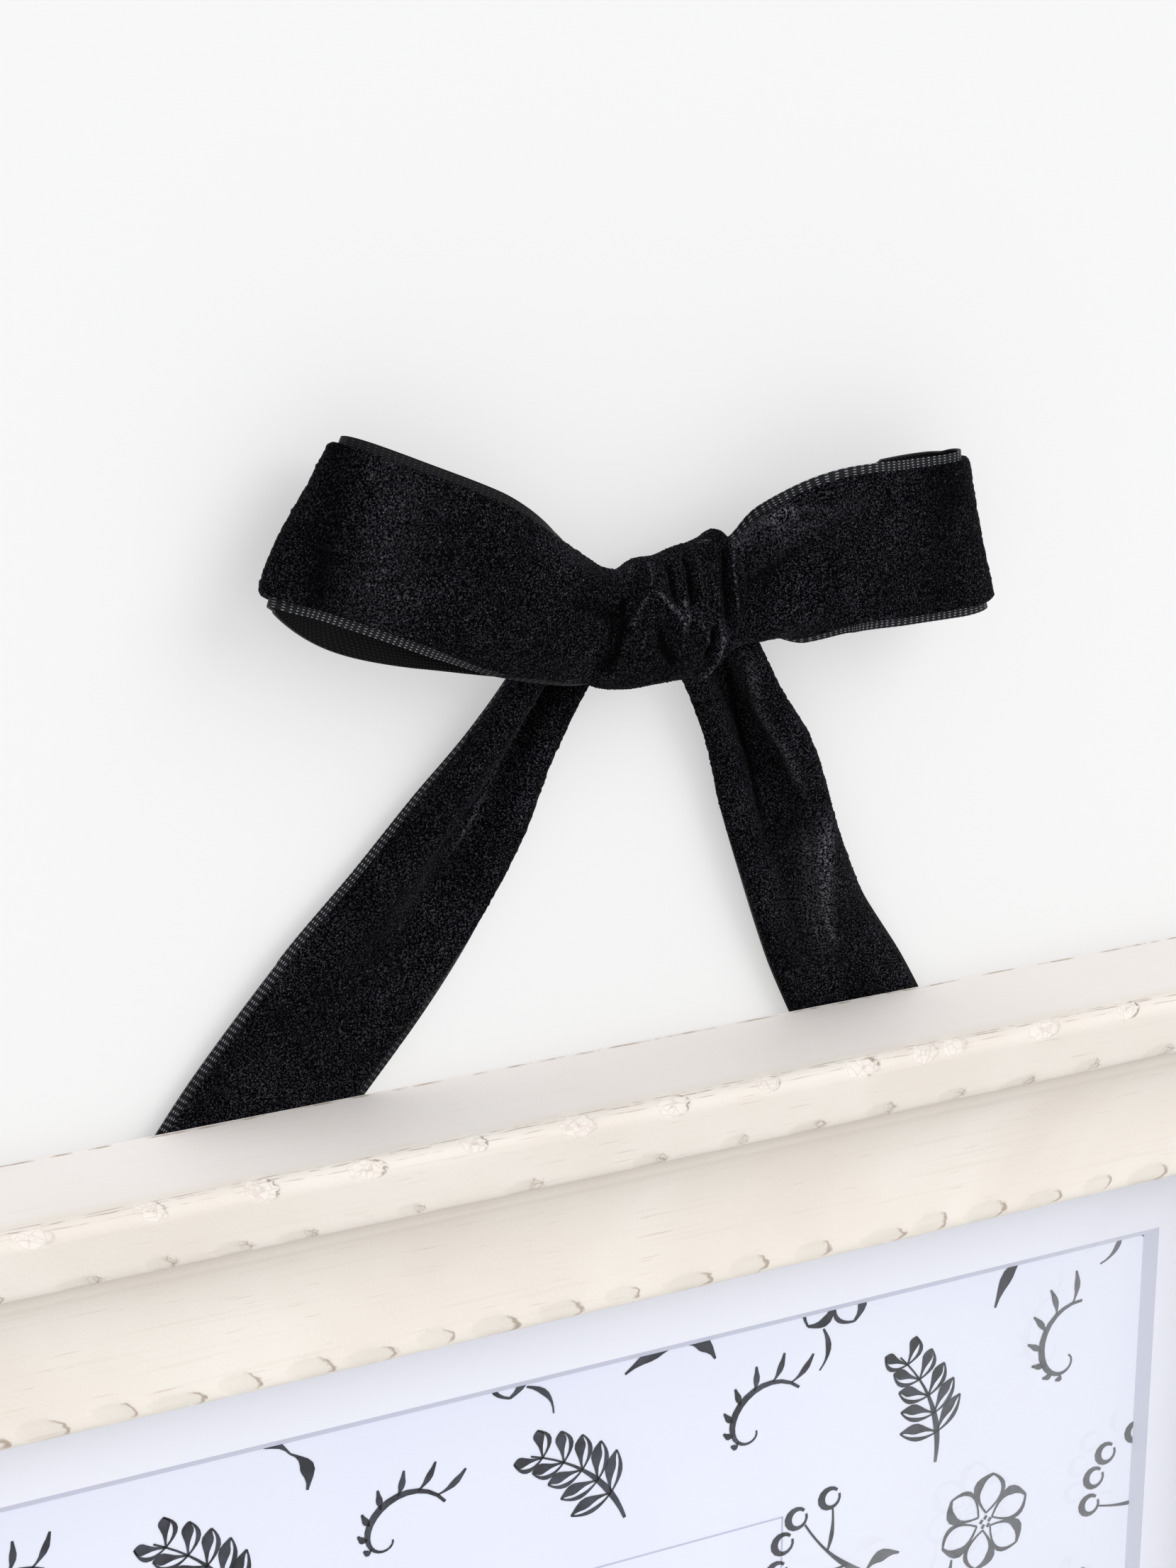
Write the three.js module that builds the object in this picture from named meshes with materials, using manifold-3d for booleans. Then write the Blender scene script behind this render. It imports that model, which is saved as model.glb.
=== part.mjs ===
// Hanging photo frame: a mitred wooden moulding round a glazed and matted print,
// closed at the back by a board under turn buttons, and hung by a velvet ribbon tied in a bow.
// Millimetres, +Z up, +X to the right, the front faces -Y and the wall is the plane Y = 0.
// The origin is the nail on the wall, just under the knot and between the two legs of the ribbon.

import * as THREE from "three";
import { mergeVertices } from "three/addons/utils/BufferGeometryUtils.js";
import Module from "manifold-3d";

const wasm = await Module();
wasm.setup();

// Driving dimensions of the opening and of the moulding's section
const window_width = 190;
const window_height = 241;
const mat_show = 13.4;
const moulding_width = 30;
const nose_depth = 20.4;
const nose_radius = 2.1;
const band_width = 6.9;
const band_fall = 0.3;
const band_round = 1;
const step_depth = 2.8;
const scoop_depth = 12.9;
const sight_depth = 15.7;
const sight_round = 1.2;
const rabbet_width = 6;
const rabbet_clearance = 0.5;
const mitre_gap = 0.3;

// Driving dimensions of what lies in the rabbet
const glass_thickness = 2;
const mat_thickness = 1.6;
const print_thickness = 0.3;
const board_thickness = 3;

// Driving dimensions of the hand-cut nicks along the nose
const nick_pitch = 13.7;
const nick_radius = 3.8;
const nick_depth = 0.7;
const nick_end_margin = 8.5;
const nick_uneven_share = 0.18;
const nick_beats = { depth: 2.4, drift: 1.7, start: 1, turn: 0.6 };

// Driving dimensions of how it hangs
const wall_gap = 2.4;
const hanging_drop = 47.9;
const frame_offset = 9.9;

// Driving dimensions of the ribbon and its bow
const ribbon_width = 22;
const ribbon_thickness = 1;
const ribbon_clearance = 0.3;
const left_leg_reach = 52.8;
const right_leg_reach = 34;
const leg_stand = 3.2;
const tail_margin = 6;
const left_loop_reach = 50.1;
const right_loop_reach = 46.2;
const bow_stand = 13.1;
const knot_length = 19.5;
const knot_height = 16.9;
const knot_depth = 13;
const knot_rise = 2.3;
const knot_centre_up = 12.2;
const knot_centre_side = 0.75;
const knot_dish = 1.5;
const knot_clearance = 0.3;

// Driving dimensions of the fastenings
const button_reach = 15;
const button_head_radius = 4.5;
const button_tip_radius = 3;
const button_thickness = 1;
const button_clearance = 0.1;
const button_inset = 15.6;
const button_hole_clearance = 0.3;
const side_button_rise = 74;
const screw_radius = 1.4;
const screw_length = 11;
const screw_point = 2.5;
const screw_head_radius = 2.9;
const screw_head_height = 1.1;
const screw_slot_width = 0.7;
const screw_slot_depth = 0.5;
const pilot_clearance = 0.15;
const vnail_arm = 5;
const vnail_thickness = 0.5;
const vnail_height = 10;
const vnail_clearance = 0.15;
const vnail_outer_inset = 7.5;
const vnail_inner_inset = 17;
const staple_crown = 8;
const staple_wire = 0.7;
const staple_leg = 7;
const staple_clearance = 0.25;
const staple_spacing = 10;
const staple_above_end = 7.5;

// One overrun serves every cut
const overrun = 1;

// Sizes that follow from the ones above
const sight_width = window_width + 2 * mat_show;
const sight_height = window_height + 2 * mat_show;
const outer_width = sight_width + 2 * moulding_width;
const outer_height = sight_height + 2 * moulding_width;
const back_y = -wall_gap;
const tail_drop = moulding_width - rabbet_width - tail_margin;
const staple_below_top = tail_drop - staple_above_end;
const top_z = -hanging_drop;
const middle_x = -frame_offset;
const middle_z = top_z - outer_height / 2;
const lip_depth = board_thickness + print_thickness + mat_thickness + glass_thickness;
const insert_width = sight_width + 2 * (rabbet_width - rabbet_clearance);
const insert_height = sight_height + 2 * (rabbet_width - rabbet_clearance);

const finishes = {
  paint: new THREE.MeshStandardMaterial({ color: 0xeae2d8, roughness: 0.62, metalness: 0 }),
  glass: new THREE.MeshStandardMaterial({ color: 0xf4f8fb, roughness: 0.05, metalness: 0 }),
  mat_board: new THREE.MeshStandardMaterial({ color: 0xeeeef3, roughness: 0.9, metalness: 0 }),
  paper: new THREE.MeshStandardMaterial({ color: 0xe6e9fb, roughness: 0.85, metalness: 0 }),
  fibreboard: new THREE.MeshStandardMaterial({ color: 0x8a6a48, roughness: 0.8, metalness: 0 }),
  steel: new THREE.MeshStandardMaterial({ color: 0xb9bcc0, roughness: 0.35, metalness: 1 }),
  velvet: new THREE.MeshStandardMaterial({ color: 0x0b0b0e, roughness: 0.95, metalness: 0 }),
};

const frame = new THREE.Group();

// Adds one named piece to the frame
function addPiece(name, geometry, material) {
  const mesh = new THREE.Mesh(geometry, material);
  mesh.name = name;
  frame.add(mesh);
  return mesh;
}

// Turns a closed geometry into a solid that can be joined and cut
function solidOf(geometry) {
  const bare = (geometry.index ? geometry.toNonIndexed() : geometry.clone());
  bare.deleteAttribute("normal");
  bare.deleteAttribute("uv");
  const merged = mergeVertices(bare);
  return new wasm.Manifold(
    new wasm.Mesh({
      numProp: 3,
      vertProperties: merged.attributes.position.array,
      triVerts: new Uint32Array(merged.index.array),
    }),
  );
}

// Turns a solid back into a geometry
function geometryOf(solid) {
  const mesh = solid.getMesh();
  const geometry = new THREE.BufferGeometry();
  geometry.setAttribute("position", new THREE.BufferAttribute(mesh.vertProperties, 3));
  geometry.setIndex(new THREE.BufferAttribute(mesh.triVerts, 1));
  return geometry;
}

// Cuts each tool out of a geometry
function cut(geometry, tools) {
  const solid = tools.reduce((rest, tool) => rest.subtract(solidOf(tool)), solidOf(geometry));
  return geometryOf(solid);
}

// Section of the moulding: across is inwards from the outer edge, depth is forwards from the back
function mouldingSection() {
  const step_edge = nose_radius + band_width;
  const step_foot = nose_depth - band_fall - step_depth;
  const rabbet_wall = moulding_width - rabbet_width;
  const section = new THREE.Shape();
  section.moveTo(0, 0);
  section.lineTo(0, nose_depth - nose_radius);
  section.absarc(nose_radius, nose_depth - nose_radius, nose_radius, Math.PI, Math.PI / 2, true);
  section.lineTo(step_edge - band_round, nose_depth - band_fall);
  section.quadraticCurveTo(
    step_edge,
    nose_depth - band_fall,
    step_edge,
    nose_depth - band_fall - band_round,
  );
  section.lineTo(step_edge + band_round, step_foot);
  section.bezierCurveTo(
    step_edge + band_round + band_width / 2,
    scoop_depth,
    moulding_width - sight_round - band_width,
    scoop_depth - band_fall,
    moulding_width - sight_round,
    sight_depth,
  );
  section.quadraticCurveTo(moulding_width, sight_depth, moulding_width, sight_depth - sight_round);
  section.lineTo(moulding_width, lip_depth);
  section.lineTo(rabbet_wall, lip_depth);
  section.lineTo(rabbet_wall, 0);
  section.closePath();
  return section;
}

// A rail lies along X with its outer edge up: the mitre takes each point of the section inwards
// by its own distance from the outer edge
function railBlank(length) {
  const curve_steps = 5;
  const blank = new THREE.ExtrudeGeometry(mouldingSection(), {
    depth: length,
    steps: 1,
    bevelEnabled: false,
    curveSegments: curve_steps,
  });
  const place = blank.attributes.position;
  for (let i = 0; i < place.count; i++) {
    const across = place.getX(i);
    const depth = place.getY(i);
    const end = place.getZ(i) > length / 2 ? -1 : 1;
    const half = length / 2 - across - mitre_gap / 2;
    place.setXYZ(i, end * half, back_y - depth, -across);
  }
  return blank;
}

// Ridge nicks, cut with a gouge at an even pitch and a slightly uneven depth
function nickTools(length) {
  const run = length - 2 * nick_end_margin;
  const count = Math.floor(run / nick_pitch) + 1;
  const ridge = nose_radius * (1 - Math.SQRT1_2);
  const tools = [];
  for (let k = 0; k < count; k++) {
    const depth = nick_depth * (1 + nick_uneven_share * Math.sin(nick_beats.depth * k));
    const lift = (nick_radius - depth) * Math.SQRT1_2;
    const wander = Math.sin(nick_beats.drift * k + nick_beats.start);
    const drift = nick_uneven_share * nick_pitch * wander;
    const tool = new THREE.IcosahedronGeometry(nick_radius, 1);
    tool.rotateX(nick_beats.turn * k);
    tool.translate(
      (k - (count - 1) / 2) * nick_pitch + drift,
      back_y - nose_depth + ridge - lift,
      lift - ridge,
    );
    tools.push(tool);
  }
  return tools;
}

// A rail's turn buttons, as places along it
const button_places = {
  top: [0],
  bottom: [0],
  left: [-side_button_rise, side_button_rise],
  right: [-side_button_rise, side_button_rise],
};
const button_names = {
  top: ["top"],
  bottom: ["bottom"],
  left: ["left_lower", "left_upper"],
  right: ["right_upper", "right_lower"],
};

// Holes for the screws of the turn buttons
function pilotTools(places) {
  const radius = screw_radius + pilot_clearance;
  const depth = screw_length - button_thickness - button_clearance;
  const sides = 10;
  return places.map((place) => {
    const tool = new THREE.CylinderGeometry(radius, radius, depth + overrun, sides);
    tool.translate(place, back_y + (overrun - depth) / 2, -button_inset);
    return tool;
  });
}

// A V-nail seen from the back: two arms that meet on the mitre line
function vnailShape(arm, thickness) {
  const half = thickness / 2;
  const spread = arm * Math.SQRT1_2;
  const shape = new THREE.Shape();
  shape.moveTo(-spread - half, -spread / 2);
  shape.lineTo(0, spread / 2 + half);
  shape.lineTo(spread + half, -spread / 2);
  shape.lineTo(spread - half, -spread / 2 - half);
  shape.lineTo(0, spread / 2 - half);
  shape.lineTo(-spread + half, -spread / 2 - half);
  shape.closePath();
  return shape;
}

// A V-nail or its slot, standing on the mitre of the corner at side_x, side_z
function vnailGeometry(side_x, side_z, inset, grown) {
  const nail = new THREE.ExtrudeGeometry(
    vnailShape(vnail_arm + 2 * grown, vnail_thickness + 2 * grown),
    { depth: vnail_height + grown, bevelEnabled: false },
  );
  nail.rotateX(Math.PI / 2);
  nail.rotateY((side_x * side_z * Math.PI) / 4 + (side_z < 0 ? Math.PI : 0));
  nail.translate(
    middle_x + side_x * (outer_width / 2 - inset),
    back_y,
    middle_z + side_z * (outer_height / 2 - inset),
  );
  return nail;
}

const corners = [
  { name: "top_left", side_x: -1, side_z: 1 },
  { name: "top_right", side_x: 1, side_z: 1 },
  { name: "bottom_left", side_x: -1, side_z: -1 },
  { name: "bottom_right", side_x: 1, side_z: -1 },
];
const vnail_insets = { outer: vnail_outer_inset, inner: vnail_inner_inset };

// Staples lie across each ribbon tail on the back of the top rail
const tails = {
  left: { side: -1, reach: left_leg_reach },
  right: { side: 1, reach: right_leg_reach },
};
const tail_slopes_share = { left: 0.78, right: 0.45 };
const ribbon_back_y = back_y + ribbon_clearance + ribbon_thickness;

// Place of one staple: its crown's middle on the ribbon's outer face
function staplePlace(tail, step) {
  const { side, reach } = tails[tail];
  const slope = tail_slopes_share[tail];
  return new THREE.Vector3(
    side * (reach + slope * staple_below_top) + step * staple_spacing,
    ribbon_back_y,
    top_z - staple_below_top,
  );
}

// A staple: a crown and two legs bent from one flat wire, open towards the rail
function stapleGeometry(place) {
  const half = staple_crown / 2;
  const shape = new THREE.Shape();
  shape.moveTo(-half, 0);
  shape.lineTo(half, 0);
  shape.lineTo(half, -staple_leg);
  shape.lineTo(half - staple_wire, -staple_leg);
  shape.lineTo(half - staple_wire, -staple_wire);
  shape.lineTo(staple_wire - half, -staple_wire);
  shape.lineTo(staple_wire - half, -staple_leg);
  shape.lineTo(-half, -staple_leg);
  shape.closePath();
  const staple = new THREE.ExtrudeGeometry(shape, { depth: staple_wire, bevelEnabled: false });
  staple.translate(place.x, place.y + staple_wire + staple_clearance, place.z - staple_wire / 2);
  return staple;
}

// Holes that the two legs of a staple make in the ribbon and the rail
function stapleTools(place) {
  const side = staple_wire + 2 * staple_clearance;
  const depth = staple_leg + staple_clearance;
  return [-1, 1].map((end) => {
    const tool = new THREE.BoxGeometry(side, depth + overrun, side);
    tool.translate(
      place.x + (end * (staple_crown - staple_wire)) / 2,
      place.y + staple_wire + staple_clearance + (overrun - depth) / 2,
      place.z,
    );
    return tool;
  });
}

const staple_steps = { outer: { left: -0.5, right: 0.5 }, inner: { left: 0.5, right: -0.5 } };
const staples = [];
for (const tail of Object.keys(tails)) {
  for (const [rank, steps] of Object.entries(staple_steps)) {
    staples.push({ name: `staple_${tail}_${rank}`, tail, place: staplePlace(tail, steps[tail]) });
  }
}

// The four rails: one blank each, turned into place, then cut for nails, screws and staples
const rails = [
  { name: "top", length: outer_width, turn: 0, x: 0, z: outer_height / 2 },
  { name: "right", length: outer_height, turn: 1, x: outer_width / 2, z: 0 },
  { name: "bottom", length: outer_width, turn: 2, x: 0, z: -outer_height / 2 },
  { name: "left", length: outer_height, turn: 3, x: -outer_width / 2, z: 0 },
];

function buildRail({ name, length, turn, x, z }) {
  const own_tools = [...nickTools(length), ...pilotTools(button_places[name])];
  const rail = cut(railBlank(length), own_tools);
  rail.rotateY((turn * Math.PI) / 2);
  rail.translate(middle_x + x, 0, middle_z + z);
  const near = corners.filter((corner) => corner.name.includes(name));
  const slots = near.flatMap(({ side_x, side_z }) =>
    Object.values(vnail_insets).map((inset) => {
      const slot = vnailGeometry(side_x, side_z, inset, vnail_clearance);
      slot.translate(0, vnail_clearance, 0);
      return slot;
    }),
  );
  const holes = name === "top" ? staples.flatMap(({ place }) => stapleTools(place)) : [];
  addPiece(`${name}_rail`, cut(rail, [...slots, ...holes]), finishes.paint);
}
rails.forEach(buildRail);

// V-nails pressed into the back of each mitre
for (const { name, side_x, side_z } of corners) {
  for (const [rank, inset] of Object.entries(vnail_insets)) {
    addPiece(`v_nail_${name}_${rank}`, vnailGeometry(side_x, side_z, inset, 0), finishes.steel);
  }
}

// Flat sheets in the rabbet, from the lip back to the board
function addSheet(name, front_depth, thickness, material) {
  const sheet = new THREE.BoxGeometry(insert_width, thickness, insert_height);
  const mesh = addPiece(name, sheet, material);
  mesh.position.set(middle_x, back_y - front_depth + thickness / 2, middle_z);
}
const mat_front = lip_depth - glass_thickness;
const print_front = mat_front - mat_thickness;
addSheet("glass_pane", lip_depth, glass_thickness, finishes.glass);
addSheet("print_sheet", print_front, print_thickness, finishes.paper);
addSheet("backing_board", board_thickness, board_thickness, finishes.fibreboard);

// Window mat: a card whose opening is cut with a bevel that widens to the front
function windowMat() {
  const card = new THREE.BoxGeometry(insert_width, mat_thickness, insert_height);
  const cutter = new THREE.CylinderGeometry(1, 1, mat_thickness + 2 * overrun, 4, 1);
  cutter.rotateY(Math.PI / 4);
  const place = cutter.attributes.position;
  const half_width = window_width / 2;
  const half_height = window_height / 2;
  for (let i = 0; i < place.count; i++) {
    const depth = place.getY(i);
    const widening = mat_thickness / 2 - depth;
    place.setXYZ(
      i,
      Math.sign(Math.round(place.getX(i) * 2)) * (half_width - mat_thickness + widening),
      depth,
      Math.sign(Math.round(place.getZ(i) * 2)) * (half_height - mat_thickness + widening),
    );
  }
  return cut(card, [cutter]);
}
const mat = addPiece("window_mat", windowMat(), finishes.mat_board);
mat.position.set(middle_x, back_y - mat_front + mat_thickness / 2, middle_z);

// Turn button: a tapered steel plate with a round head, a round tip and a hole for its screw
function buttonGeometry() {
  const tip = button_reach - button_tip_radius;
  const lean = Math.asin((button_head_radius - button_tip_radius) / tip);
  const shape = new THREE.Shape();
  shape.absarc(0, 0, button_head_radius, -lean, Math.PI + lean, false);
  shape.absarc(0, -tip, button_tip_radius, Math.PI + lean, 2 * Math.PI - lean, false);
  shape.closePath();
  const hole = new THREE.Path();
  hole.absarc(0, 0, screw_radius + button_hole_clearance, 0, 2 * Math.PI, true);
  shape.holes.push(hole);
  const plate = new THREE.ExtrudeGeometry(shape, {
    depth: button_thickness,
    bevelEnabled: false,
    curveSegments: 10,
  });
  plate.rotateX(Math.PI / 2);
  return plate;
}

// Slotted screw: a domed head, a shank and a point, turned about its own axis
function screwGeometry() {
  const head_steps = 3;
  const outline = [new THREE.Vector2(0, -screw_length)];
  outline.push(new THREE.Vector2(screw_radius, screw_point - screw_length));
  outline.push(new THREE.Vector2(screw_radius, 0));
  for (let i = 0; i <= head_steps; i++) {
    const angle = ((i / head_steps) * Math.PI) / 2;
    outline.push(
      new THREE.Vector2(
        screw_head_radius * Math.cos(angle),
        screw_head_height * Math.sin(angle),
      ),
    );
  }
  const around = 10;
  const screw = new THREE.LatheGeometry(outline, around);
  const slot = new THREE.BoxGeometry(
    2 * (screw_head_radius + overrun),
    screw_slot_depth + overrun,
    screw_slot_width,
  );
  slot.rotateY(Math.PI / 5);
  slot.translate(0, screw_head_height + (overrun - screw_slot_depth) / 2, 0);
  return cut(screw, [slot]);
}

// Each button points inwards over the board, on its screw
for (const { name, turn, x, z } of rails) {
  button_places[name].forEach((place, index) => {
    const holder = new THREE.Group();
    holder.position.set(middle_x + x, back_y + button_clearance, middle_z + z);
    holder.rotation.y = (turn * Math.PI) / 2;
    const button = new THREE.Mesh(buttonGeometry(), finishes.steel);
    button.name = `turn_button_${button_names[name][index]}`;
    button.position.set(place, button_thickness, -button_inset);
    const screw = new THREE.Mesh(screwGeometry(), finishes.steel);
    screw.name = `screw_${button_names[name][index]}`;
    screw.position.set(place, button_thickness + button_clearance, -button_inset);
    holder.add(button, screw);
    frame.add(holder);
  });
}

for (const { name, place } of staples) addPiece(name, stapleGeometry(place), finishes.steel);

// Closed solid from rings of points, all with the same count: ends are closed by fans
function ringSolid(rings, first_middle, last_middle) {
  const around = rings[0].length;
  const points = [...rings.flat(), first_middle, last_middle];
  const first = points.length - 2;
  const last = points.length - 1;
  const end_ring = (rings.length - 1) * around;
  const faces = [];
  for (let j = 0; j < around; j++) {
    const next = (j + 1) % around;
    for (let i = 0; i < rings.length - 1; i++) {
      const a = i * around + j;
      const b = i * around + next;
      faces.push(a, b + around, b, a, a + around, b + around);
    }
    faces.push(first, j, next, last, end_ring + next, end_ring + j);
  }
  const geometry = new THREE.BufferGeometry();
  const flat = new Float32Array(points.flatMap((point) => point.toArray()));
  geometry.setAttribute("position", new THREE.BufferAttribute(flat, 3));
  geometry.setIndex(faces);
  return geometry;
}

// Reads a column of a table of shares at any place along it, on a smooth curve
function along(table, column, t) {
  const points = table.map((row, i) => new THREE.Vector2(i, row[column]));
  return new THREE.SplineCurve(points).getPoint(t).y;
}

// A ribbon strip: the route gives its middle line, and the shape table its way across, the share
// of its width that is spread and how steeply it is gathered into pleats
function ribbonStrip(route, shape, pleats, steps) {
  const columns = 8;
  const line = new THREE.CatmullRomCurve3(route);
  const front = [];
  const back = [];
  for (let i = 0; i <= steps; i++) {
    const t = i / steps;
    const middle = line.getPoint(t);
    const way = line.getTangent(t);
    const across = new THREE.Vector3(along(shape, 0, t), along(shape, 1, t), along(shape, 2, t));
    across.addScaledVector(way, -across.dot(way)).normalize();
    const out = new THREE.Vector3().crossVectors(way, across);
    const width = ribbon_width * along(shape, 3, t);
    const gather = along(shape, 4, t);
    const pitch = width / columns;
    const section = [];
    let side = 0;
    let height = 0;
    for (let j = 0; j <= columns; j++) {
      const slope = gather * Math.sin(2 * Math.PI * pleats * (j / columns));
      section.push({ side, height, slope });
      const next = gather * Math.sin(2 * Math.PI * pleats * ((j + 0.5) / columns));
      side += pitch * Math.cos(next);
      height += pitch * Math.sin(next);
    }
    const mean_height = section.reduce((sum, point) => sum + point.height, 0) / (columns + 1);
    const front_row = [];
    const back_row = [];
    for (const point of section) {
      const spot = middle
        .clone()
        .addScaledVector(across, point.side - side / 2)
        .addScaledVector(out, point.height - mean_height);
      const normal = out.clone().multiplyScalar(Math.cos(point.slope));
      normal.addScaledVector(across, -Math.sin(point.slope));
      front_row.push(spot.clone().addScaledVector(normal, ribbon_thickness / 2));
      back_row.push(spot.clone().addScaledVector(normal, -ribbon_thickness / 2));
    }
    front.push(front_row);
    back.push(back_row);
  }
  const rings = front.map((row, i) => [...row, ...back[i].reverse()]);
  return rings;
}

// Closes the rings of a strip with a flat mesh at each end
function stripSolid(rings) {
  const around = rings[0].length;
  const half = around / 2;
  const faces = [];
  for (let i = 0; i < rings.length - 1; i++) {
    for (let j = 0; j < around; j++) {
      const a = i * around + j;
      const b = i * around + ((j + 1) % around);
      faces.push(a, b + around, b, a, a + around, b + around);
    }
  }
  const end = (rings.length - 1) * around;
  for (let j = 0; j < half - 1; j++) {
    const a = j;
    const b = j + 1;
    const c = around - 2 - j;
    const d = around - 1 - j;
    faces.push(a, b, c, a, c, d);
    faces.push(end + a, end + c, end + b, end + a, end + d, end + c);
  }
  const geometry = new THREE.BufferGeometry();
  const flat = new Float32Array(rings.flat().flatMap((point) => point.toArray()));
  geometry.setAttribute("position", new THREE.BufferAttribute(flat, 3));
  geometry.setIndex(faces);
  return geometry;
}

// Knot: the ribbon wound tight round the neck of the bow, its gathers running over it from top
// to bottom. Its length lies along X and rises to the right
function knotSolid(grown) {
  const girth_shares = [0.76, 0.84, 0.91, 0.97, 0.98, 0.98, 1.01, 1.03, 1.05, 1.05, 0.84];
  const around = 16;
  const gather_share = 0.035;
  const gathers = 3;
  const skew = 1.2;
  const rings = girth_shares.map((share, i) => {
    const t = i / (girth_shares.length - 1);
    const ring = [];
    for (let j = 0; j < around; j++) {
      const angle = (2 * Math.PI * j) / around;
      const wave = 1 + gather_share * Math.sin(2 * Math.PI * gathers * t + skew * Math.cos(angle));
      const girth = share * wave;
      ring.push(
        new THREE.Vector3(
          (t - 0.5) * (knot_length + 2 * grown) - knot_centre_side,
          -knot_depth / 2 - leg_stand / 2 - (girth * knot_depth * Math.cos(angle)) / 2
            - grown * Math.cos(angle),
          knot_centre_up + (t - 0.5) * knot_rise
            + (girth * knot_height * Math.sin(angle)) / 2 + grown * Math.sin(angle),
        ),
      );
    }
    return ring;
  });
  const middles = [rings[0], rings[rings.length - 1]].map((ring) => {
    const middle = new THREE.Vector3();
    ring.forEach((point) => middle.addScaledVector(point, 1 / around));
    return middle;
  });
  middles[0].x += knot_dish;
  middles[1].x -= knot_dish;
  return ringSolid(rings, middles[0], middles[1]);
}
addPiece("ribbon_knot", knotSolid(0), finishes.velvet);

// Loops: out from the knot in front, round the end and back behind. Route shares: of the reach
// along X, of the bow's stand off the wall along Y, of the ribbon's width along Z
const loops = {
  left: {
    reach: -left_loop_reach,
    route_shares: [
      [0.1, 0.802, 0.509],
      [0.236, 0.901, 0.545],
      [0.401, 0.969, 0.718],
      [0.587, 1, 0.936],
      [0.802, 0.985, 1.173],
      [0.938, 0.908, 1.318],
      [1, 0.672, 1.355],
      [0.962, 0.412, 1.245],
      [0.802, 0.313, 1],
      [0.597, 0.374, 0.845],
      [0.379, 0.458, 0.645],
      [0.12, 0.519, 0.523],
    ],
    shape_shares: [
      [0.06, 0, 1, 0.5, 0.9],
      [0.08, 0, 1, 0.65, 0.8],
      [0.2, 0, 1, 0.84, 0.5],
      [0.29, 0, 1, 0.93, 0.3],
      [0.36, 0, 1, 0.96, 0.1],
      [0.44, 0, 1, 0.98, 0],
      [0.58, 0, 1, 0.98, 0],
      [0.5, 0, 1, 0.98, 0],
      [0.42, 0, 1, 1, 0.1],
      [0.32, 0, 1, 0.93, 0.4],
      [0.22, 0, 1, 0.73, 0.7],
      [0.1, 0, 1, 0.5, 0.9],
    ],
  },
  right: {
    reach: right_loop_reach,
    route_shares: [
      [0.065, 0.779, 0.636],
      [0.182, 0.893, 0.673],
      [0.325, 0.985, 0.791],
      [0.519, 1.008, 0.832],
      [0.74, 0.992, 0.85],
      [0.935, 0.901, 0.855],
      [1, 0.656, 0.85],
      [0.952, 0.397, 0.836],
      [0.758, 0.344, 0.809],
      [0.485, 0.366, 0.773],
      [0.29, 0.427, 0.709],
      [0.087, 0.504, 0.645],
    ],
    shape_shares: [
      [0.05, 0, 1, 0.45, 0.9],
      [0.03, 0, 1, 0.55, 0.85],
      [-0.02, 0, 1, 0.82, 0.5],
      [-0.07, 0, 1, 0.91, 0.25],
      [-0.14, 0, 1, 0.97, 0.1],
      [-0.2, 0, 1, 0.99, 0],
      [-0.25, 0, 1, 0.99, 0],
      [-0.18, 0, 1, 1, 0],
      [-0.12, 0, 1, 1, 0.1],
      [-0.07, 0, 1, 0.91, 0.4],
      [-0.03, 0, 1, 0.65, 0.8],
      [0, 0, 1, 0.45, 0.9],
    ],
  },
};
const loop_pleats = 2;
const loop_steps = 34;
for (const [side, { reach, route_shares, shape_shares }] of Object.entries(loops)) {
  const route = route_shares.map(
    ([x, y, z]) => new THREE.Vector3(x * reach, -y * bow_stand, z * ribbon_width),
  );
  const strip = stripSolid(ribbonStrip(route, shape_shares, loop_pleats, loop_steps));
  addPiece(`ribbon_${side}_loop`, cut(strip, [knotSolid(knot_clearance)]), finishes.velvet);
}

// Legs: from the knot down to the rail's top edge, then flat down its back. Route shares: of the
// reach along X, of the leg's stand off the wall along Y, of the hanging drop along Z
const tail_stand = wall_gap - ribbon_clearance - ribbon_thickness / 2;
const legs = {
  left: {
    reach: -left_leg_reach,
    route_shares: [
      [0.1, 1.05, 0.17],
      [0.3, 0.95, 0.02],
      [0.43, 0.9, -0.18],
      [0.594, 0.82, -0.42],
      [0.795, 0.68, -0.69],
    ],
    shape_shares: [
      [1, 0, -0.4, 0.56, 0.9],
      [1, 0, -0.62, 0.56, 0.85],
      [1, 0, -0.78, 0.68, 0.65],
      [1, 0, -0.9, 0.86, 0.4],
      [1, 0, -0.85, 0.95, 0.15],
      [1, 0, -0.8, 1, 0],
      [1, 0, -0.8, 1, 0],
      [1, 0, -0.8, 1, 0],
    ],
  },
  right: {
    reach: right_leg_reach,
    route_shares: [
      [0.08, 1.05, 0.2],
      [0.31, 1, 0.075],
      [0.465, 0.93, -0.146],
      [0.648, 0.8, -0.47],
      [0.83, 0.65, -0.777],
    ],
    shape_shares: [
      [1, 0, 0.5, 0.5, 0.9],
      [1, 0, 0.3, 0.54, 0.85],
      [1, 0, 0.2, 0.61, 0.75],
      [1, 0, 0.22, 0.7, 0.6],
      [1, 0, 0.28, 0.77, 0.4],
      [1, 0, 0.32, 0.85, 0.1],
      [1, 0, 0.42, 0.92, 0],
      [1, 0, 0.45, 0.95, 0],
    ],
  },
};
const leg_pleats = 2;
const leg_steps = 26;
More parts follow.
